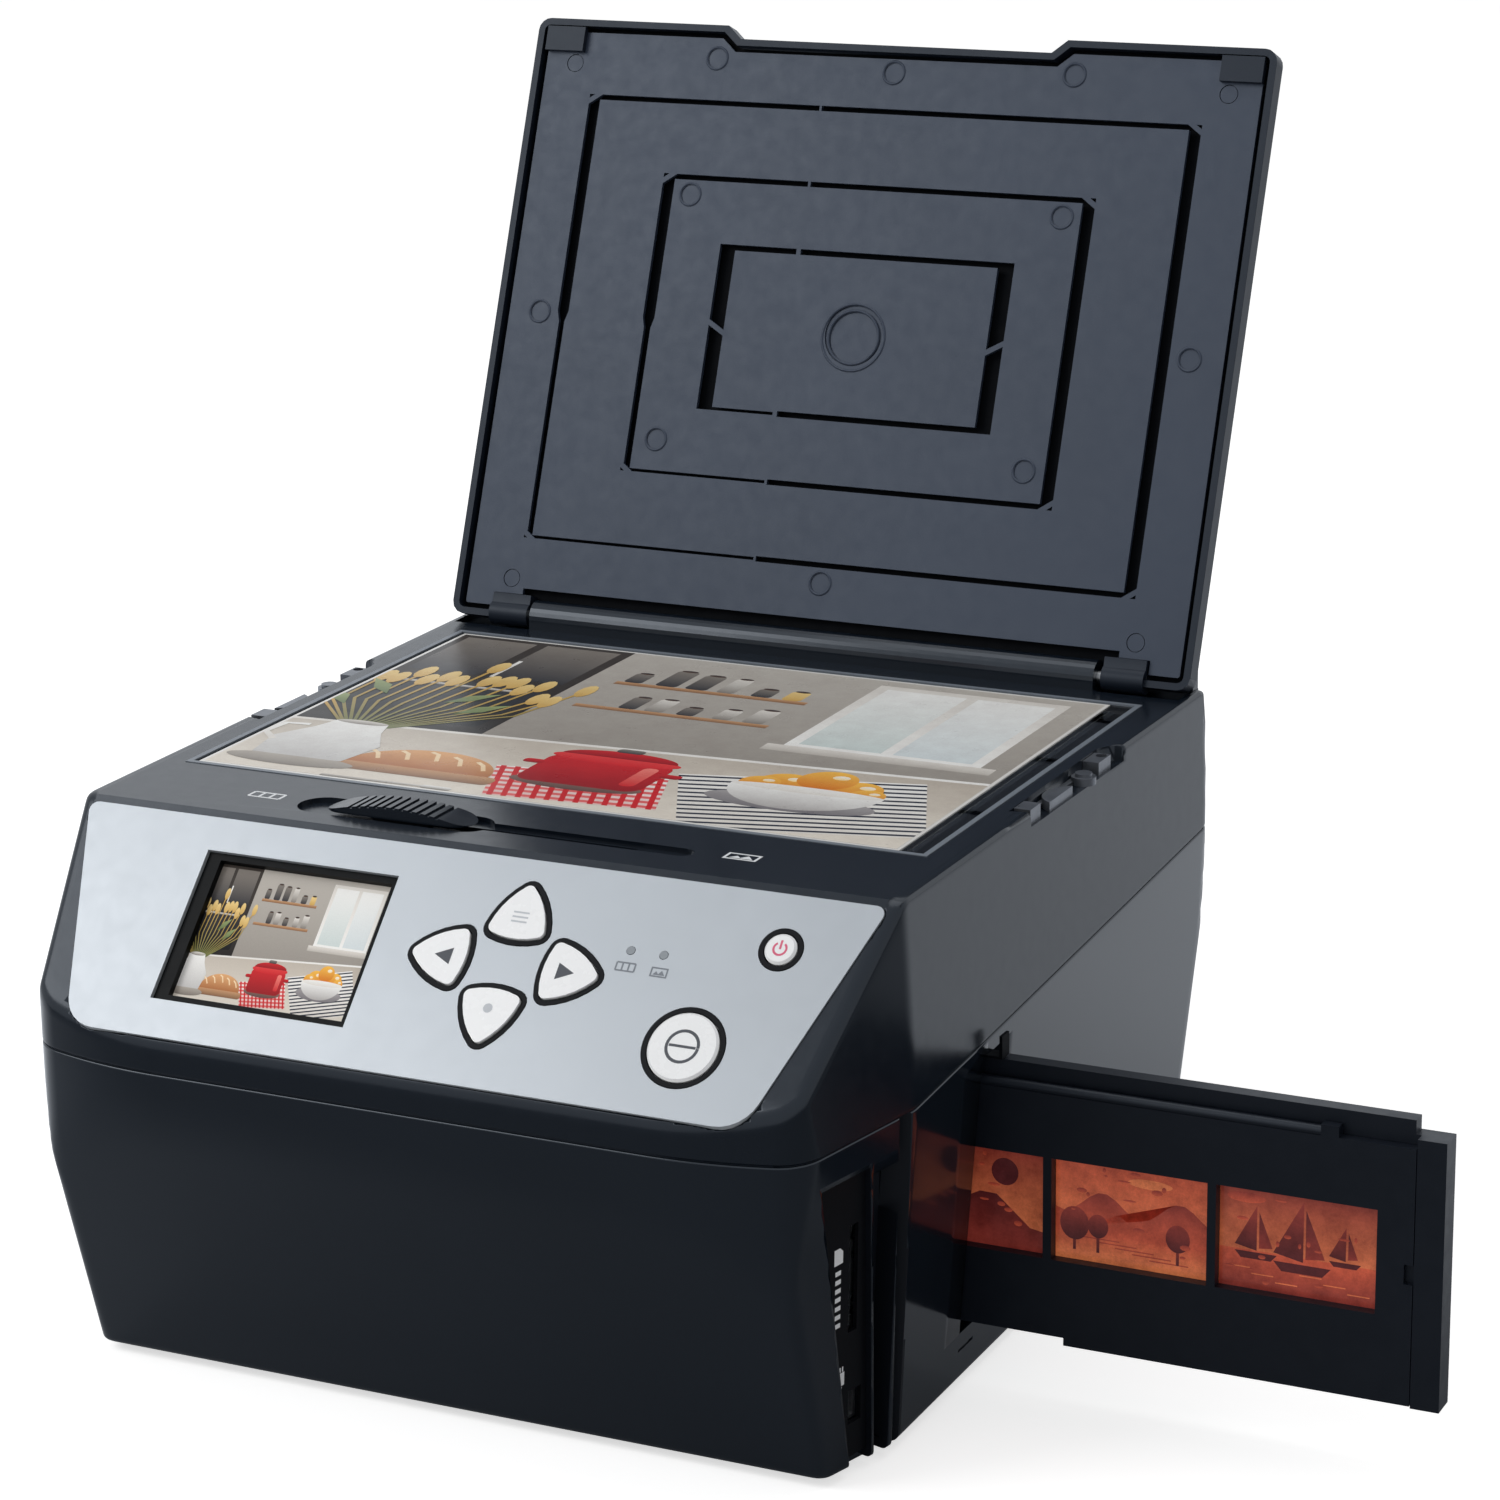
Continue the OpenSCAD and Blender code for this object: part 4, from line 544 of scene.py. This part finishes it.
def between(w, low, top):
    return lambda y: low(y) + w * (top(y) - low(y))


def upper_rows():
    """Rows of the upper half: rounded lip, wall up to the crease with deck and slope, then inwards.

    The last row lies above the deck, so that the CAD's own deck and slope stay as they are.
    """
    rows = [wall_row(over_seam(h), UPPER_LIP_R, True) for h in (-3, UPPER_LIP)]
    rows += [wall_row(over_seam(UPPER_LIP + UPPER_LIP_R - UPPER_LIP_R * math.cos(a)),
                      UPPER_LIP_R * (1 - math.sin(a)), True) for a in (0.4, 0.8, 1.2, math.pi / 2)]
    crease = wall_row(lambda y: np.minimum(DECK_H, DECK_H + y * (DECK_H - NOSE_Z) / NOSE_D), 0, True, walls)
    start, end = seam_z(crease[1]) + 1.2, crease[2] - 2.6
    for w in np.linspace(0, 1, 22):
        level = start + w * np.maximum(end - start, 0.4)
        rows.append(wall_row(lambda y: level, 0, True))
    for drop in (2.1, 1.65, 1.25, 0.9, 0.65):
        rows.append(wall_row(lambda y: crease[2] - drop, 0, True))
    rows += [top_row(crease, inset) for inset in (0.65, 0.9, 1.25, 1.7, 2.3, 2.9)]
    x, y, z = top_row(crease, 3.5)
    return rows + [(x, y, z + 0.12), (x, y, np.full_like(z, DECK_H + REACH))]


def lower_rows():
    """Rows of the lower half: rounded base edge, wall, rounded lip under the seam, then inwards."""
    base_h, first = 2.2, FOOT + 0.03
    rows = [wall_row(level_z(first + base_h * (i / 6) ** 2), 0, False) for i in range(7)]
    rows += [wall_row(between(i / 24, level_z(first + base_h), over_seam(-0.5)), 0, False) for i in range(1, 25)]
    rows += [wall_row(over_seam(LOWER_LIP - LOWER_LIP_R * (1 - math.sin(a))),
                      LOWER_LIP_R * (1 - math.cos(a)), False) for a in (0.5, 1.0, math.pi / 2)]
    return rows + [wall_row(over_seam(h), 1.1, False) for h in (LOWER_LIP, 2.5)]


def solid_form(name, rows):
    """Closed solid through rows of points around the form's axis."""
    bm = bmesh.new()
    rows = [[bm.verts.new(HOME @ Vector(p)) for p in zip(*(a.tolist() for a in row))] for row in rows]
    bridge(bm, rows)
    for row in (rows[0][::-1], rows[-1]):
        n = len(row)
        hub = bm.verts.new(sum((v.co for v in row), Vector()) / n)
        for i in range(n):
            bm.faces.new((row[i], row[(i + 1) % n], hub))
    return finished(bm, name)


# ---- Casings with rounded edges; the ridge at the rear of the deck keeps its CAD shape ----
ridge = box_mesh("ridge_form", (-DECK_HALF + 0.7, DECK_D - 6.0, DECK_H - 3),
                 (DECK_HALF - 0.7, DECK_D - 0.2, DECK_H + 11), HOME)
upper_form = combined(solid_form("upper_form", upper_rows()), [("UNION", ridge)])
trimmed(softened("upper_case", width=0.5, shortest=3), upper_form)
lower = trimmed(softened("lower_case", width=0.5, shortest=3), solid_form("lower_form", lower_rows()))
lid = softened("lid_cover", width=0.8, shortest=2)


def paint_shade_on(obj, place, material, lo, hi, only_down=False):
    """Painted shade: another material for the faces of one piece that lie between two corners of a frame."""
    obj.data.materials.append(material)
    back = place.inverted()
    turned = back.to_3x3().normalized()
    for f in obj.data.polygons:
        inside = all(a < c < b for a, c, b in zip(lo, back @ f.center, hi))
        if inside and not (only_down and (turned @ f.normal).z >= -0.7):
            f.material_index = 1


# painted shade: the finger groove beside the sockets and its bevel take a darker, duller plastic, and the hollow
# behind the lid's slots a near-black one
paint_shade_on(lower, BAY, MATERIALS["case_painted_shade"], (-14.2, -90, -9), (-0.9, -9.5, -0.4))
paint_shade_on(lid, LID, MATERIALS["shadow_plastic"], (-96, -158, 0.35), (96, -8, math.inf), only_down=True)


# ---- Flat outlines ----
def ring(c, rx, ry, n=28, a0=0.0, a1=360.0):
    """Ellipse round c, or the part of it from a0 to a1 degrees."""
    count = n if abs(a1 - a0) >= 360 else n + 1
    angles = [math.radians(a0 + (a1 - a0) * i / n) for i in range(count)]
    return [(c[0] + rx * math.cos(a), c[1] + ry * math.sin(a)) for a in angles]


def rect(x0, y0, x1, y1):
    return [(x0, y0), (x1, y0), (x1, y1), (x0, y1)]


def round_rect(x0, y0, x1, y1, r, n=5):
    pts = []
    for cx, cy, a in ((x1 - r, y0 + r, -90), (x1 - r, y1 - r, 0), (x0 + r, y1 - r, 90), (x0 + r, y0 + r, 180)):
        pts += ring((cx, cy), r, r, n, a, a + 90)
    return pts


def stroke(path, w):
    """Outline of a line of width w along a path."""
    left, right = [], []
    for i, p in enumerate(path):
        a, b = Vector(path[max(i - 1, 0)]), Vector(path[min(i + 1, len(path) - 1)])
        d = (b - a).normalized()
        n = Vector((-d.y, d.x)) * (w / 2)
        left.append((p[0] + n.x, p[1] + n.y))
        right.append((p[0] - n.x, p[1] - n.y))
    return left + right[::-1]


def stripes(corners, count, start, end, low, high):
    """Bands across a four-sided cloth, each from start to end of its share of the length."""
    a, b, c, d = (Vector(p) for p in corners)
    out = []
    for i in range(count):
        t0, t1 = (i + start) / count, (i + end) / count
        quad = (a.lerp(d, t0), b.lerp(c, t0), b.lerp(c, t1), a.lerp(d, t1))
        out.append(([tuple(p) for p in quad], low, high))
    return out


def clipped(pts, box):
    """The part of an outline inside a box."""
    for axis, edge, keep_low in ((0, box[0], False), (0, box[2], True), (1, box[1], False), (1, box[3], True)):
        out = []
        for i, p in enumerate(pts):
            q = pts[i - 1]
            p_in, q_in = (v[axis] <= edge if keep_low else v[axis] >= edge for v in (p, q))
            if p_in != q_in:
                t = (edge - q[axis]) / (p[axis] - q[axis])
                out.append((q[0] + t * (p[0] - q[0]), q[1] + t * (p[1] - q[1])))
            if p_in:
                out.append(p)
        pts = out
        if len(pts) < 3:
            return []
    return pts


def sheet(name, shapes, place, body, ink, box=None, z=0.0, step=0.002, scale=1.0, move=(0, 0)):
    """Flat printed shapes in one mesh: each is (outline, low colour, high colour), later ones on top."""
    bm = bmesh.new()
    layer = bm.loops.layers.float_color.new("tone")
    for i, (pts, low, high) in enumerate(shapes):
        pts = [(p[0] * scale + move[0], p[1] * scale + move[1]) for p in pts]
        if box:
            pts = clipped(pts, box)
        if len(pts) < 3:
            continue
        ys = [p[1] for p in pts]
        y0, dy = min(ys), max(ys) - min(ys) or 1.0
        f = bm.faces.new([bm.verts.new(place @ Vector((p[0], p[1], z + i * step))) for p in pts])
        for loop, p in zip(f.loops, pts):
            t = (p[1] - y0) / dy
            loop[layer] = (*[a + (b - a) * t for a, b in zip(low, high)], 1.0)
    bmesh.ops.triangulate(bm, faces=bm.faces)
    return add_piece(name, finished(bm, name, outward=False), body, ink)


# ---- Ejector marks and the round mark on the lid's inner plate ----
def ridge_rings(name, spots, place, height, width, node):
    """Thin raised rings on a CAD node: each spot is (x, y, radius)."""
    bm = bmesh.new()
    section = ((-width, 0), (-width * 0.3, height), (width * 0.3, height), (width, 0))
    for x, y, r in spots:
        bridge(bm, [[bm.verts.new(place @ Vector((px, py, h))) for px, py in ring((x, y), r + dr, r + dr, 32)]
                    for dr, h in section])
    mesh = finished(bm, name)
    shade(mesh, crease=60)
    return add_piece(name, mesh, BODY[node], material_of(node))


EJECTOR_R = 2.9
# each as x and the distance from the hinge
EJECTORS = ((-49.5, 149), (49.5, 149), (0.6, 147.4), (-51.5, 113), (51.5, 113), (-90, 79.7), (90, 79.7),
            (-51, 48.8), (51, 48.8), (0.7, 15.9))
ROUND_MARK = [(0, -78.9, 8.6), (0, -78.9, 6.9)]
PLATE = LID @ shift(0, 0, -0.72) @ turn("X", 180) @ Matrix.Scale(-1, 4, (0, 1, 0))
ridge_rings("lid_marks", [(x, -d, EJECTOR_R) for x, d in EJECTORS] + ROUND_MARK, PLATE,
            height=0.3, width=0.35, node="lid_inner")

# ---- The picture on the print and on the screen: a kitchen still life, with x from its right edge ----
CREAM, WALL_C, SHADE = srgb(224, 219, 212), srgb(188, 182, 174), srgb(132, 125, 118)
WOOD, WOOD_D, BARK = srgb(196, 150, 110), srgb(134, 98, 72), srgb(88, 64, 50)
NAVY, RED, RED_D, WHITE = srgb(44, 48, 62), srgb(206, 40, 46), srgb(150, 26, 34), srgb(242, 241, 238)
STRAW, GOLD, LEAF, SLATE = srgb(236, 206, 140), srgb(206, 166, 92), srgb(92, 110, 66), srgb(54, 54, 58)


def window():
    """Pale window with its bars."""
    return [(rect(8, 64, 58, 122), WHITE, CREAM), (rect(11, 67, 31, 119), srgb(214, 222, 224), WHITE),
            (rect(34, 67, 55, 119), srgb(206, 216, 214), WHITE), (rect(4, 60, 62, 65), WALL_C, CREAM)]


def shelves(rnd):
    """Two shelves with jars and cups."""
    s = []
    foot, rim = 2.6, 2.8        # above a shelf's lower edge: the jars' feet, and their rims less their height
    for y, count in ((98, 6), (76, 5)):
        s.append((rect(68, y, 120, y + foot), WOOD_D, WOOD))
        for i in range(count):
            x = 71 + i * 8.4 + rnd.uniform(-1, 1)
            h, w = rnd.uniform(7, 15), rnd.uniform(2.2, 3.1)
            a, b = rnd.choice([(CREAM, WHITE), (GOLD, STRAW), (SLATE, SHADE), (WOOD_D, WOOD), (SHADE, CREAM)])
            s.append((round_rect(x, y + foot, x + 2 * w, y + foot + h, 1.2, 3), a, b))
            s.append((ring((x + w, y + rim + h), w * 0.8, 0.8, 14), BARK, SLATE))
    return s


def cupboard():
    """Dark cupboard with an oven and its rail."""
    return [(rect(128, 40, 178, 127), srgb(34, 30, 28), srgb(66, 60, 56)), (rect(131, 92, 152, 124), SLATE, SHADE),
            (rect(155, 92, 175, 124), SLATE, SHADE), (round_rect(132, 50, 174, 86, 2, 3), srgb(15, 15, 17), SLATE),
            (rect(135, 81, 171, 82.6), SHADE, CREAM), (rect(150.5, 92, 151.6, 108), CREAM, WHITE)]


def table():
    """Table top with its lit rear edge."""
    return [([(0, 0), (178, 0), (178, 42), (0, 54)], srgb(226, 218, 206), srgb(188, 178, 166)),
            ([(0, 52.4), (178, 40.4), (178, 42), (0, 54)], CREAM, WHITE)]


def fruit_bowl():
    """Bowl of fruit on a striped cloth."""
    cloth = [(-2, 10), (52, -4), (70, 34), (14, 48)]
    s = [(cloth, CREAM, WHITE)] + stripes(cloth, 13, 0.3, 0.68, NAVY, NAVY)
    s.append((ring((37, 23), 21, 6.5), srgb(120, 116, 120), srgb(170, 166, 166)))
    for x, y, r in ((27, 37, 6.6), (45, 37, 6.8), (36, 42, 7.2), (50, 35, 5), (23, 34, 4.6)):
        s.append((ring((x, y), r, r), srgb(214, 116, 36), srgb(246, 190, 84)))
        s.append((ring((x - r * 0.3, y + r * 0.4), r * 0.3, r * 0.22, 12), srgb(252, 220, 150), WHITE))
    s.append((ring((37, 33), 19, 15, 20, 180, 360), srgb(176, 172, 170), WHITE))
    s.append((ring((37, 33), 19, 2.4), CREAM, WHITE))
    return s


def pot():
    """Red pot on a checked napkin."""
    a, b, c, d = napkin = [(62, 6), (104, 2), (112, 24), (70, 29)]
    s = [(napkin, srgb(232, 190, 186), WHITE)]
    s += stripes(napkin, 7, 0.25, 0.75, srgb(226, 110, 108), srgb(222, 96, 96))
    s += stripes((d, a, b, c), 12, 0.3, 0.7, RED, RED)
    s += [(ring((88, 17), 17, 4.4), srgb(96, 70, 66), srgb(150, 120, 110)),
          (round_rect(72, 16, 104, 38, 4), RED_D, RED),
          (round_rect(75, 20, 79, 35, 1.6), RED, srgb(240, 130, 120)),
          (ring((88, 38), 16.6, 3.6), RED, srgb(226, 70, 70)),
          (ring((88, 39.4), 15, 5.2, 20, 0, 180), RED_D, RED),
          (round_rect(84.5, 44, 91.5, 47, 1.2), SLATE, SHADE),
          (round_rect(67.6, 29, 73, 32, 1.2), RED_D, RED),
          (round_rect(103, 29, 108.4, 32, 1.2), RED_D, RED)]
    return s


def bread():
    """Loaf with five cuts on its board."""
    s = [(round_rect(106, 8, 150, 14, 2.4), WOOD_D, WOOD),
         (ring((128, 14), 19, 14.5, 26, 0, 180), srgb(176, 112, 68), srgb(226, 172, 120))]
    for i in range(5):
        x, rise = 114 + i * 7, 2 - abs(i - 2)
        cut = [(x - 1.6, 18 + 1.4 * rise), (x + 0.6, 22 + 2 * rise), (x + 3, 24 + 1.6 * rise)]
        s.append((stroke(cut, 1.1), srgb(240, 208, 164), srgb(246, 222, 186)))
    return s


def jug(rnd):
    """White jug with straw and leaves."""
    s = []
    middle = 158
    for i in range(17):
        x = 142 + i * 2.0
        top = (153 + (x - middle) * 1.9, 92 + rnd.uniform(-9, 8) - abs(x - middle) * 0.5)
        mid = ((x + top[0]) / 2 + (x - middle) * 0.25, 62)
        s.append((stroke([(middle + (x - middle) * 0.2, 38), mid, top], 0.9), LEAF, GOLD))
        s.append((ring(top, 2.2, 5.4, 12), GOLD, STRAW))
    for x, y, k in ((143, 58, -1), (172, 56, 1), (150, 66, -1), (167, 68, 1)):
        leaf = [(x, y), (x + 6 * k, y + 4), (x + 10 * k, y + 12), (x + 3 * k, y + 8)]
        s.append((leaf, LEAF, srgb(150, 162, 110)))
    s += [(ring((159, 9), 17, 4), srgb(130, 122, 114), srgb(180, 172, 162)),
          ([(147, 12), (171, 12), (173.5, 26), (168, 36), (166, 43), (152, 43), (150, 36), (144.5, 26)],
           srgb(196, 194, 192), WHITE),
          (ring((159, 43), 7, 1.6), SHADE, CREAM),
          (stroke([(170, 37), (176, 36), (177, 28), (172, 23)], 1.8), CREAM, WHITE)]
    return s


def knife():
    return [(round_rect(112, 1, 120, 3.2, 1), SHADE, WHITE),
            ([(120, 1.4), (146, 0.6), (146, 2.2), (120, 2.8)], SHADE, CREAM)]


def still_life():
    """The picture's shapes from back to front, with x from its left edge."""
    rnd = random.Random(4)
    s = [(rect(0, 0, PRINT_W, PRINT_H), SHADE, WALL_C)] + window() + shelves(rnd) + cupboard() + table()
    s += fruit_bowl() + pot() + bread() + jug(rnd) + knife()
    return [([(PRINT_W - x, y) for x, y in pts], low, high) for pts, low, high in s]


INK_STEP = 0.0006           # height of one printed shape over the one before
BORDER = 0.9                # white edge of the print
SCREEN_X, SCREEN_Y = 22.6, 16.9     # half sizes of the screen's picture
LIFE = still_life()
sheet("print_picture", [(rect(0, 0, PRINT_W, PRINT_H), CREAM, WHITE)] + LIFE,
      HOME @ shift(-91.5, 32.1, DECK_H - 0.05), "case", PRINT_INK,
      box=(BORDER, BORDER, PRINT_W - BORDER, PRINT_H - BORDER), z=0.004, step=INK_STEP)
sheet("screen_picture", LIFE, SLOPE @ shift(-39.8, -28.8, -2.4), "case", SCREEN_INK,
      box=(-SCREEN_X, -SCREEN_Y, SCREEN_X, SCREEN_Y), z=0.02, step=INK_STEP, scale=0.268, move=(-23.8, -17.0))

# ---- Pictures on the film: orange negatives of landscapes and sails ----
F_LIT, F_MID, F_LOW, F_DARK = srgb(252, 142, 88), srgb(218, 96, 66), srgb(158, 62, 52), srgb(92, 36, 38)
SHOWN_X, SHOWN_Y = 17.9, 11.9       # half sizes of the part of a picture that shows


def mountains(k, rnd):
    """A mountain ridge under a dark sun."""
    line = [(-18 + 4 * i, -3 + 4 * math.sin(i * 0.9 + k) + rnd.uniform(-1, 1)) for i in range(10)]
    return [([(-18, -12)] + line + [(18, -12)], F_LOW, F_DARK), (ring((8, 6), 3.2, 3.2), F_DARK, F_DARK)]


def lake(k):
    """A lake under hills, with round trees on its near shore."""
    hills = [(-18 + 2 * i, 2 + 2.6 * math.sin(i * 0.7 + k)) for i in range(19)]
    s = [(hills + [(18, -5), (-18, -5)], F_MID, F_LOW), (rect(-18, -5, 18, -12), F_LIT, F_MID)]
    for i in range(5):
        s.append((rect(-12 + 4 * i, -6.4 - i * 0.8, -3 + 4 * i, -6.1 - i * 0.8), F_LOW, F_MID))
    for x, r in ((-13.5, 3.4), (-8, 2.4), (10.5, 2.8)):
        s += [(rect(x - 0.35, -9.6, x + 0.35, -4), F_DARK, F_LOW), (ring((x, -3.4), r, r * 1.15), F_DARK, F_LOW)]
    s.append((ring((4, 8.2), 5.2, 1.1), F_LIT, F_LIT))
    return s


def harbour():
    """Three boats with sails."""
    s = [(rect(-18, -12, 18, -3), F_LOW, F_MID)]
    for x, w in ((-9.5, 1.0), (1.0, 1.35), (10.5, 0.75)):
        s += [([(x, -3 * w), (x, 7.4 * w), (x - 5 * w, -2 * w)], F_DARK, F_LOW),
              ([(x + 0.5, -2.4 * w), (x + 0.5, 6 * w), (x + 3.6 * w, -2 * w)], F_LOW, F_DARK),
              ([(x - 5 * w, -3.4 * w), (x + 4.6 * w, -3.4 * w), (x + 3.2 * w, -5 * w), (x - 3.6 * w, -5 * w)],
               F_DARK, F_DARK)]
    for i in range(6):
        drop = (i % 3) * 1.3
        s.append((rect(-16 + 5.4 * i, -7.2 - drop, -11 + 5.4 * i, -6.9 - drop), F_LIT, F_MID))
    s.append((ring((-12, 9), 4.4, 1.2), F_MID, F_LOW))
    return s


def film_frame(k):
    """Picture k of the strip: one of three subjects, with specks that differ from frame to frame."""
    rnd = random.Random(20 + k)
    s = [(rect(-18, -12, 18, 12), F_LIT, F_LOW if k % 2 else F_MID)]
    s += mountains(k, rnd) if k % 3 == 0 else lake(k) if k % 3 == 1 else harbour()
    for _ in range(14):
        x, y = rnd.uniform(-17, 17), rnd.uniform(-11, 11)
        s.append((ring((x, y), rnd.uniform(0.3, 1.6), rnd.uniform(0.2, 0.7), 9), F_MID, F_LOW))
    return s


for k in range(FRAMES):
    x0 = AXIS_X + k * PITCH
    # each picture shows on both faces of the strip
    for side, z, step in (("front", 0.01, INK_STEP), ("back", -FILM_T - 0.01, -INK_STEP)):
        sheet(f"film_frame_{k + 1}_{side}", film_frame(k), FILM, "film_holder", FILM_INK,
              box=(x0 - SHOWN_X, -SHOWN_Y, x0 + SHOWN_X, SHOWN_Y), z=z, step=step, move=(x0, 0))

# ---- Pictograms where the object has words ----
PALE, GREY, DARK_INK, PINK = srgb(228, 231, 234), srgb(120, 126, 134), srgb(58, 62, 70), srgb(222, 96, 128)
KEY_GREY = srgb(196, 200, 206)


def inked(ink, *outlines):
    return [(p, ink, ink) for p in outlines]


def film_sign(x, y, w, h, ink):
    """Piece of film: two edges and four bars."""
    edges = [stroke([(x - w / 2, y + k * h / 2), (x + w / 2, y + k * h / 2)], h * 0.2) for k in (-1, 1)]
    bars = [x - w / 2 + w * i / 3 for i in range(4)]
    return inked(ink, *edges, *[rect(px - h * 0.1, y - h / 2, px + h * 0.1, y + h / 2) for px in bars])


def photo_sign(x, y, w, h, ink):
    """Framed picture of two peaks."""
    x0, y0, x1, y1, b = x - w / 2, y - h / 2, x + w / 2, y + h / 2, h * 0.15
    return inked(ink, rect(x0, y0, x1, y0 + b), rect(x0, y1 - b, x1, y1), rect(x0, y0, x0 + b, y1),
                 rect(x1 - b, y0, x1, y1),
                 [(x - w * 0.34, y - h * 0.28), (x + w * 0.02, y - h * 0.28), (x - w * 0.16, y + h * 0.1)],
                 [(x - w * 0.06, y - h * 0.28), (x + w * 0.36, y - h * 0.28), (x + w * 0.15, y + h * 0.22)])


KEY_SIGNS = {
    "left": inked(DARK_INK, [(0.3, -27.5), (4.4, -25.5), (4.4, -29.5)]),
    "right": inked(DARK_INK, [(34.1, -27.4), (30.0, -25.4), (30.0, -29.4)]),
    "up": inked(KEY_GREY, *[rect(15.3, -15.3 - i * 1.1, 19.1, -14.9 - i * 1.1) for i in range(3)]),
    "down": inked(KEY_GREY, ring((17.2, -38.2), 1.1, 1.1)),
    "power": inked(PINK, stroke(ring((78.4, -15.1), 1.45, 1.45, 22, 125, 415), 0.5),
                   rect(78.15, -15.2, 78.65, -13.1)),
    "start": inked(DARK_INK, stroke(ring((64, -40.2), 3.6, 3.6, 30, 0, 359), 0.7),
                   rect(60.9, -40.5, 67.1, -39.9)),
}
CARD = [(-24.2, -28.4), (-21.4, -28.4), (-21.4, -25.6), (-22.4, -24.6), (-24.2, -24.6)]
ON_DECK, ON_PANEL, ON_KEY, ON_BAY = 0.02, 0.42, 1.12, -1.58      # heights above each frame's plane
SIGNS = (
    ("film", film_sign(-61.8, 14, 8, 3.4, PALE), DECK, "case", "light_trim", ON_DECK),
    ("photo", photo_sign(57.5, 14.4, 8, 4.2, PALE), DECK, "case", "light_trim", ON_DECK),
    ("leds", film_sign(44.9, -23.9, 4.4, 1.9, GREY) + photo_sign(52.9, -24.1, 4.0, 2.3, GREY), SLOPE, "case",
     "silver_panel", ON_PANEL),
    *((key, shapes, SLOPE, f"key_{key}_cap", "key_white", ON_KEY) for key, shapes in KEY_SIGNS.items()),
    ("card", inked(PALE, CARD, *[rect(-23.8, -31.0 - i * 2.1, -22.0, -29.9 - i * 2.1) for i in range(7)]),
     BAY, "case", "light_trim", ON_BAY),
    ("usb", inked(PALE, rect(-22.3, -58.2, -20.3, -55.0), rect(-21.9, -54.8, -21.5, -53.6),
                  rect(-21.1, -54.8, -20.7, -53.6), rect(-21.5, -61.0, -21.1, -58.4)),
     BAY, "case", "light_trim", ON_BAY),
)
for name, shapes, place, body, slot, z in SIGNS:
    sheet("sign_" + name, shapes, place, body, MARK_INK, z=z)

# ---- Camera, solved from the photo's straight edges: pixels, millimetres and degrees ----
PHOTO_PX, FOCAL_PX, SENSOR, ROLL = 1500, 4366.6, 36, -0.81
EYE, TARGET = Vector((449.0, -870.6, 411.1)) * MM, Vector((37.67, -18, 137.11)) * MM

cam_data = bpy.data.cameras.new("camera")
cam_data.sensor_width = SENSOR
cam_data.lens = FOCAL_PX * SENSOR / PHOTO_PX
cam = linked("camera", cam_data)
look = (TARGET - EYE).normalized()
right = look.cross(Vector((0, 0, 1))).normalized()
up = right.cross(look)
roll = math.radians(ROLL)
right, up = right * math.cos(roll) + up * math.sin(roll), up * math.cos(roll) - right * math.sin(roll)
cam.matrix_world = Matrix((*zip(right, up, -look, EYE), (0, 0, 0, 1)))
scene.camera = cam


# ---- Light and floor ----
def lamp(name, place, aim, size, power):
    data = bpy.data.lights.new(name, "AREA")
    data.shape = "RECTANGLE"
    data.size, data.size_y = size
    data.energy = power
    obj = linked(name, data)
    obj.location = place
    obj.rotation_mode = "QUATERNION"
    obj.rotation_quaternion = (Vector(aim) - Vector(place)).to_track_quat("-Z", "Y")


lamp("key_lamp", place=(-0.85, -0.75, 1.0), aim=(0, 0, 0.12), size=(0.9, 0.7), power=7.4)
lamp("top_lamp", place=(0.0, 0.3, 1.9), aim=(0, 0, 0.1), size=(1.6, 1.2), power=7.3)

SKY_FOR_DIFFUSE = 0.42      # the world's strength for diffuse rays, against 1 for the others
SKY_TINT, GROUND_TINT = (0.93, 0.97, 1.02), (0.93, 0.98, 1.05)      # in reflections
GROUND, GROUND_GLOW = (0.82, 0.82, 0.82), 0.64      # the floor's colour and its glow to the camera
# painted shade: in reflections the floor's colour is dim in front of the object, as in the photo's studio; it
# brightens backwards, along a slant, between two places in metres
SLANT, DIM_Y, BRIGHT_Y, DIM, BRIGHT = -0.45, -0.2, 0.16, 0.3, 1.3

world = bpy.data.worlds.new("studio")
scene.world = world
sky = Tree(world)
ray = sky.add("LightPath").outputs
level = sky.add("MapRange", {"Value": ray["Is Diffuse Ray"], "To Min": 1.0, "To Max": SKY_FOR_DIFFUSE})
sky.fill(sky.nodes["Background"], {"Strength": level.outputs["Result"],
                                   "Color": sky.mix(ray["Is Glossy Ray"], (1, 1, 1), SKY_TINT)})

floor_mesh = bpy.data.meshes.new("floor")
floor_mesh.from_pydata([(-8, -8, 0), (8, -8, 0), (8, 8, 0), (-8, 8, 0)], [], [(0, 1, 2, 3)])
floor = linked("floor", floor_mesh)
floor_material, ground, surface = new_material("floor")
ray = ground.add("LightPath").outputs
along = ground.add("SeparateXYZ", {"Vector": ground.coord()}).outputs
# painted shade in the floor's reflections: dark in front of the object, bright behind it
ground_shade = ground.add("MapRange", {"Value": ground.maths("MULTIPLY_ADD", along["X"], SLANT, along["Y"]),
                               "From Min": DIM_Y, "From Max": BRIGHT_Y, "To Min": DIM, "To Max": BRIGHT})
ground_shade.interpolation_type = "SMOOTHSTEP"
shaded_ground = ground.add("CombineXYZ", {axis: ground.maths("MULTIPLY", ground_shade.outputs["Result"], k)
                                   for axis, k in zip("XYZ", GROUND_TINT)})
ground.fill(surface, {"Base Color": ground.mix(ray["Is Glossy Ray"], GROUND, shaded_ground.outputs[0]),
                      "Roughness": 0.9, "Specular IOR Level": 0.0, "Emission Color": (1, 1, 1),
                      "Emission Strength": ground.maths("MULTIPLY", ray["Is Camera Ray"], GROUND_GLOW)})
floor_mesh.materials.append(floor_material)

scene.view_settings.view_transform = "Standard"
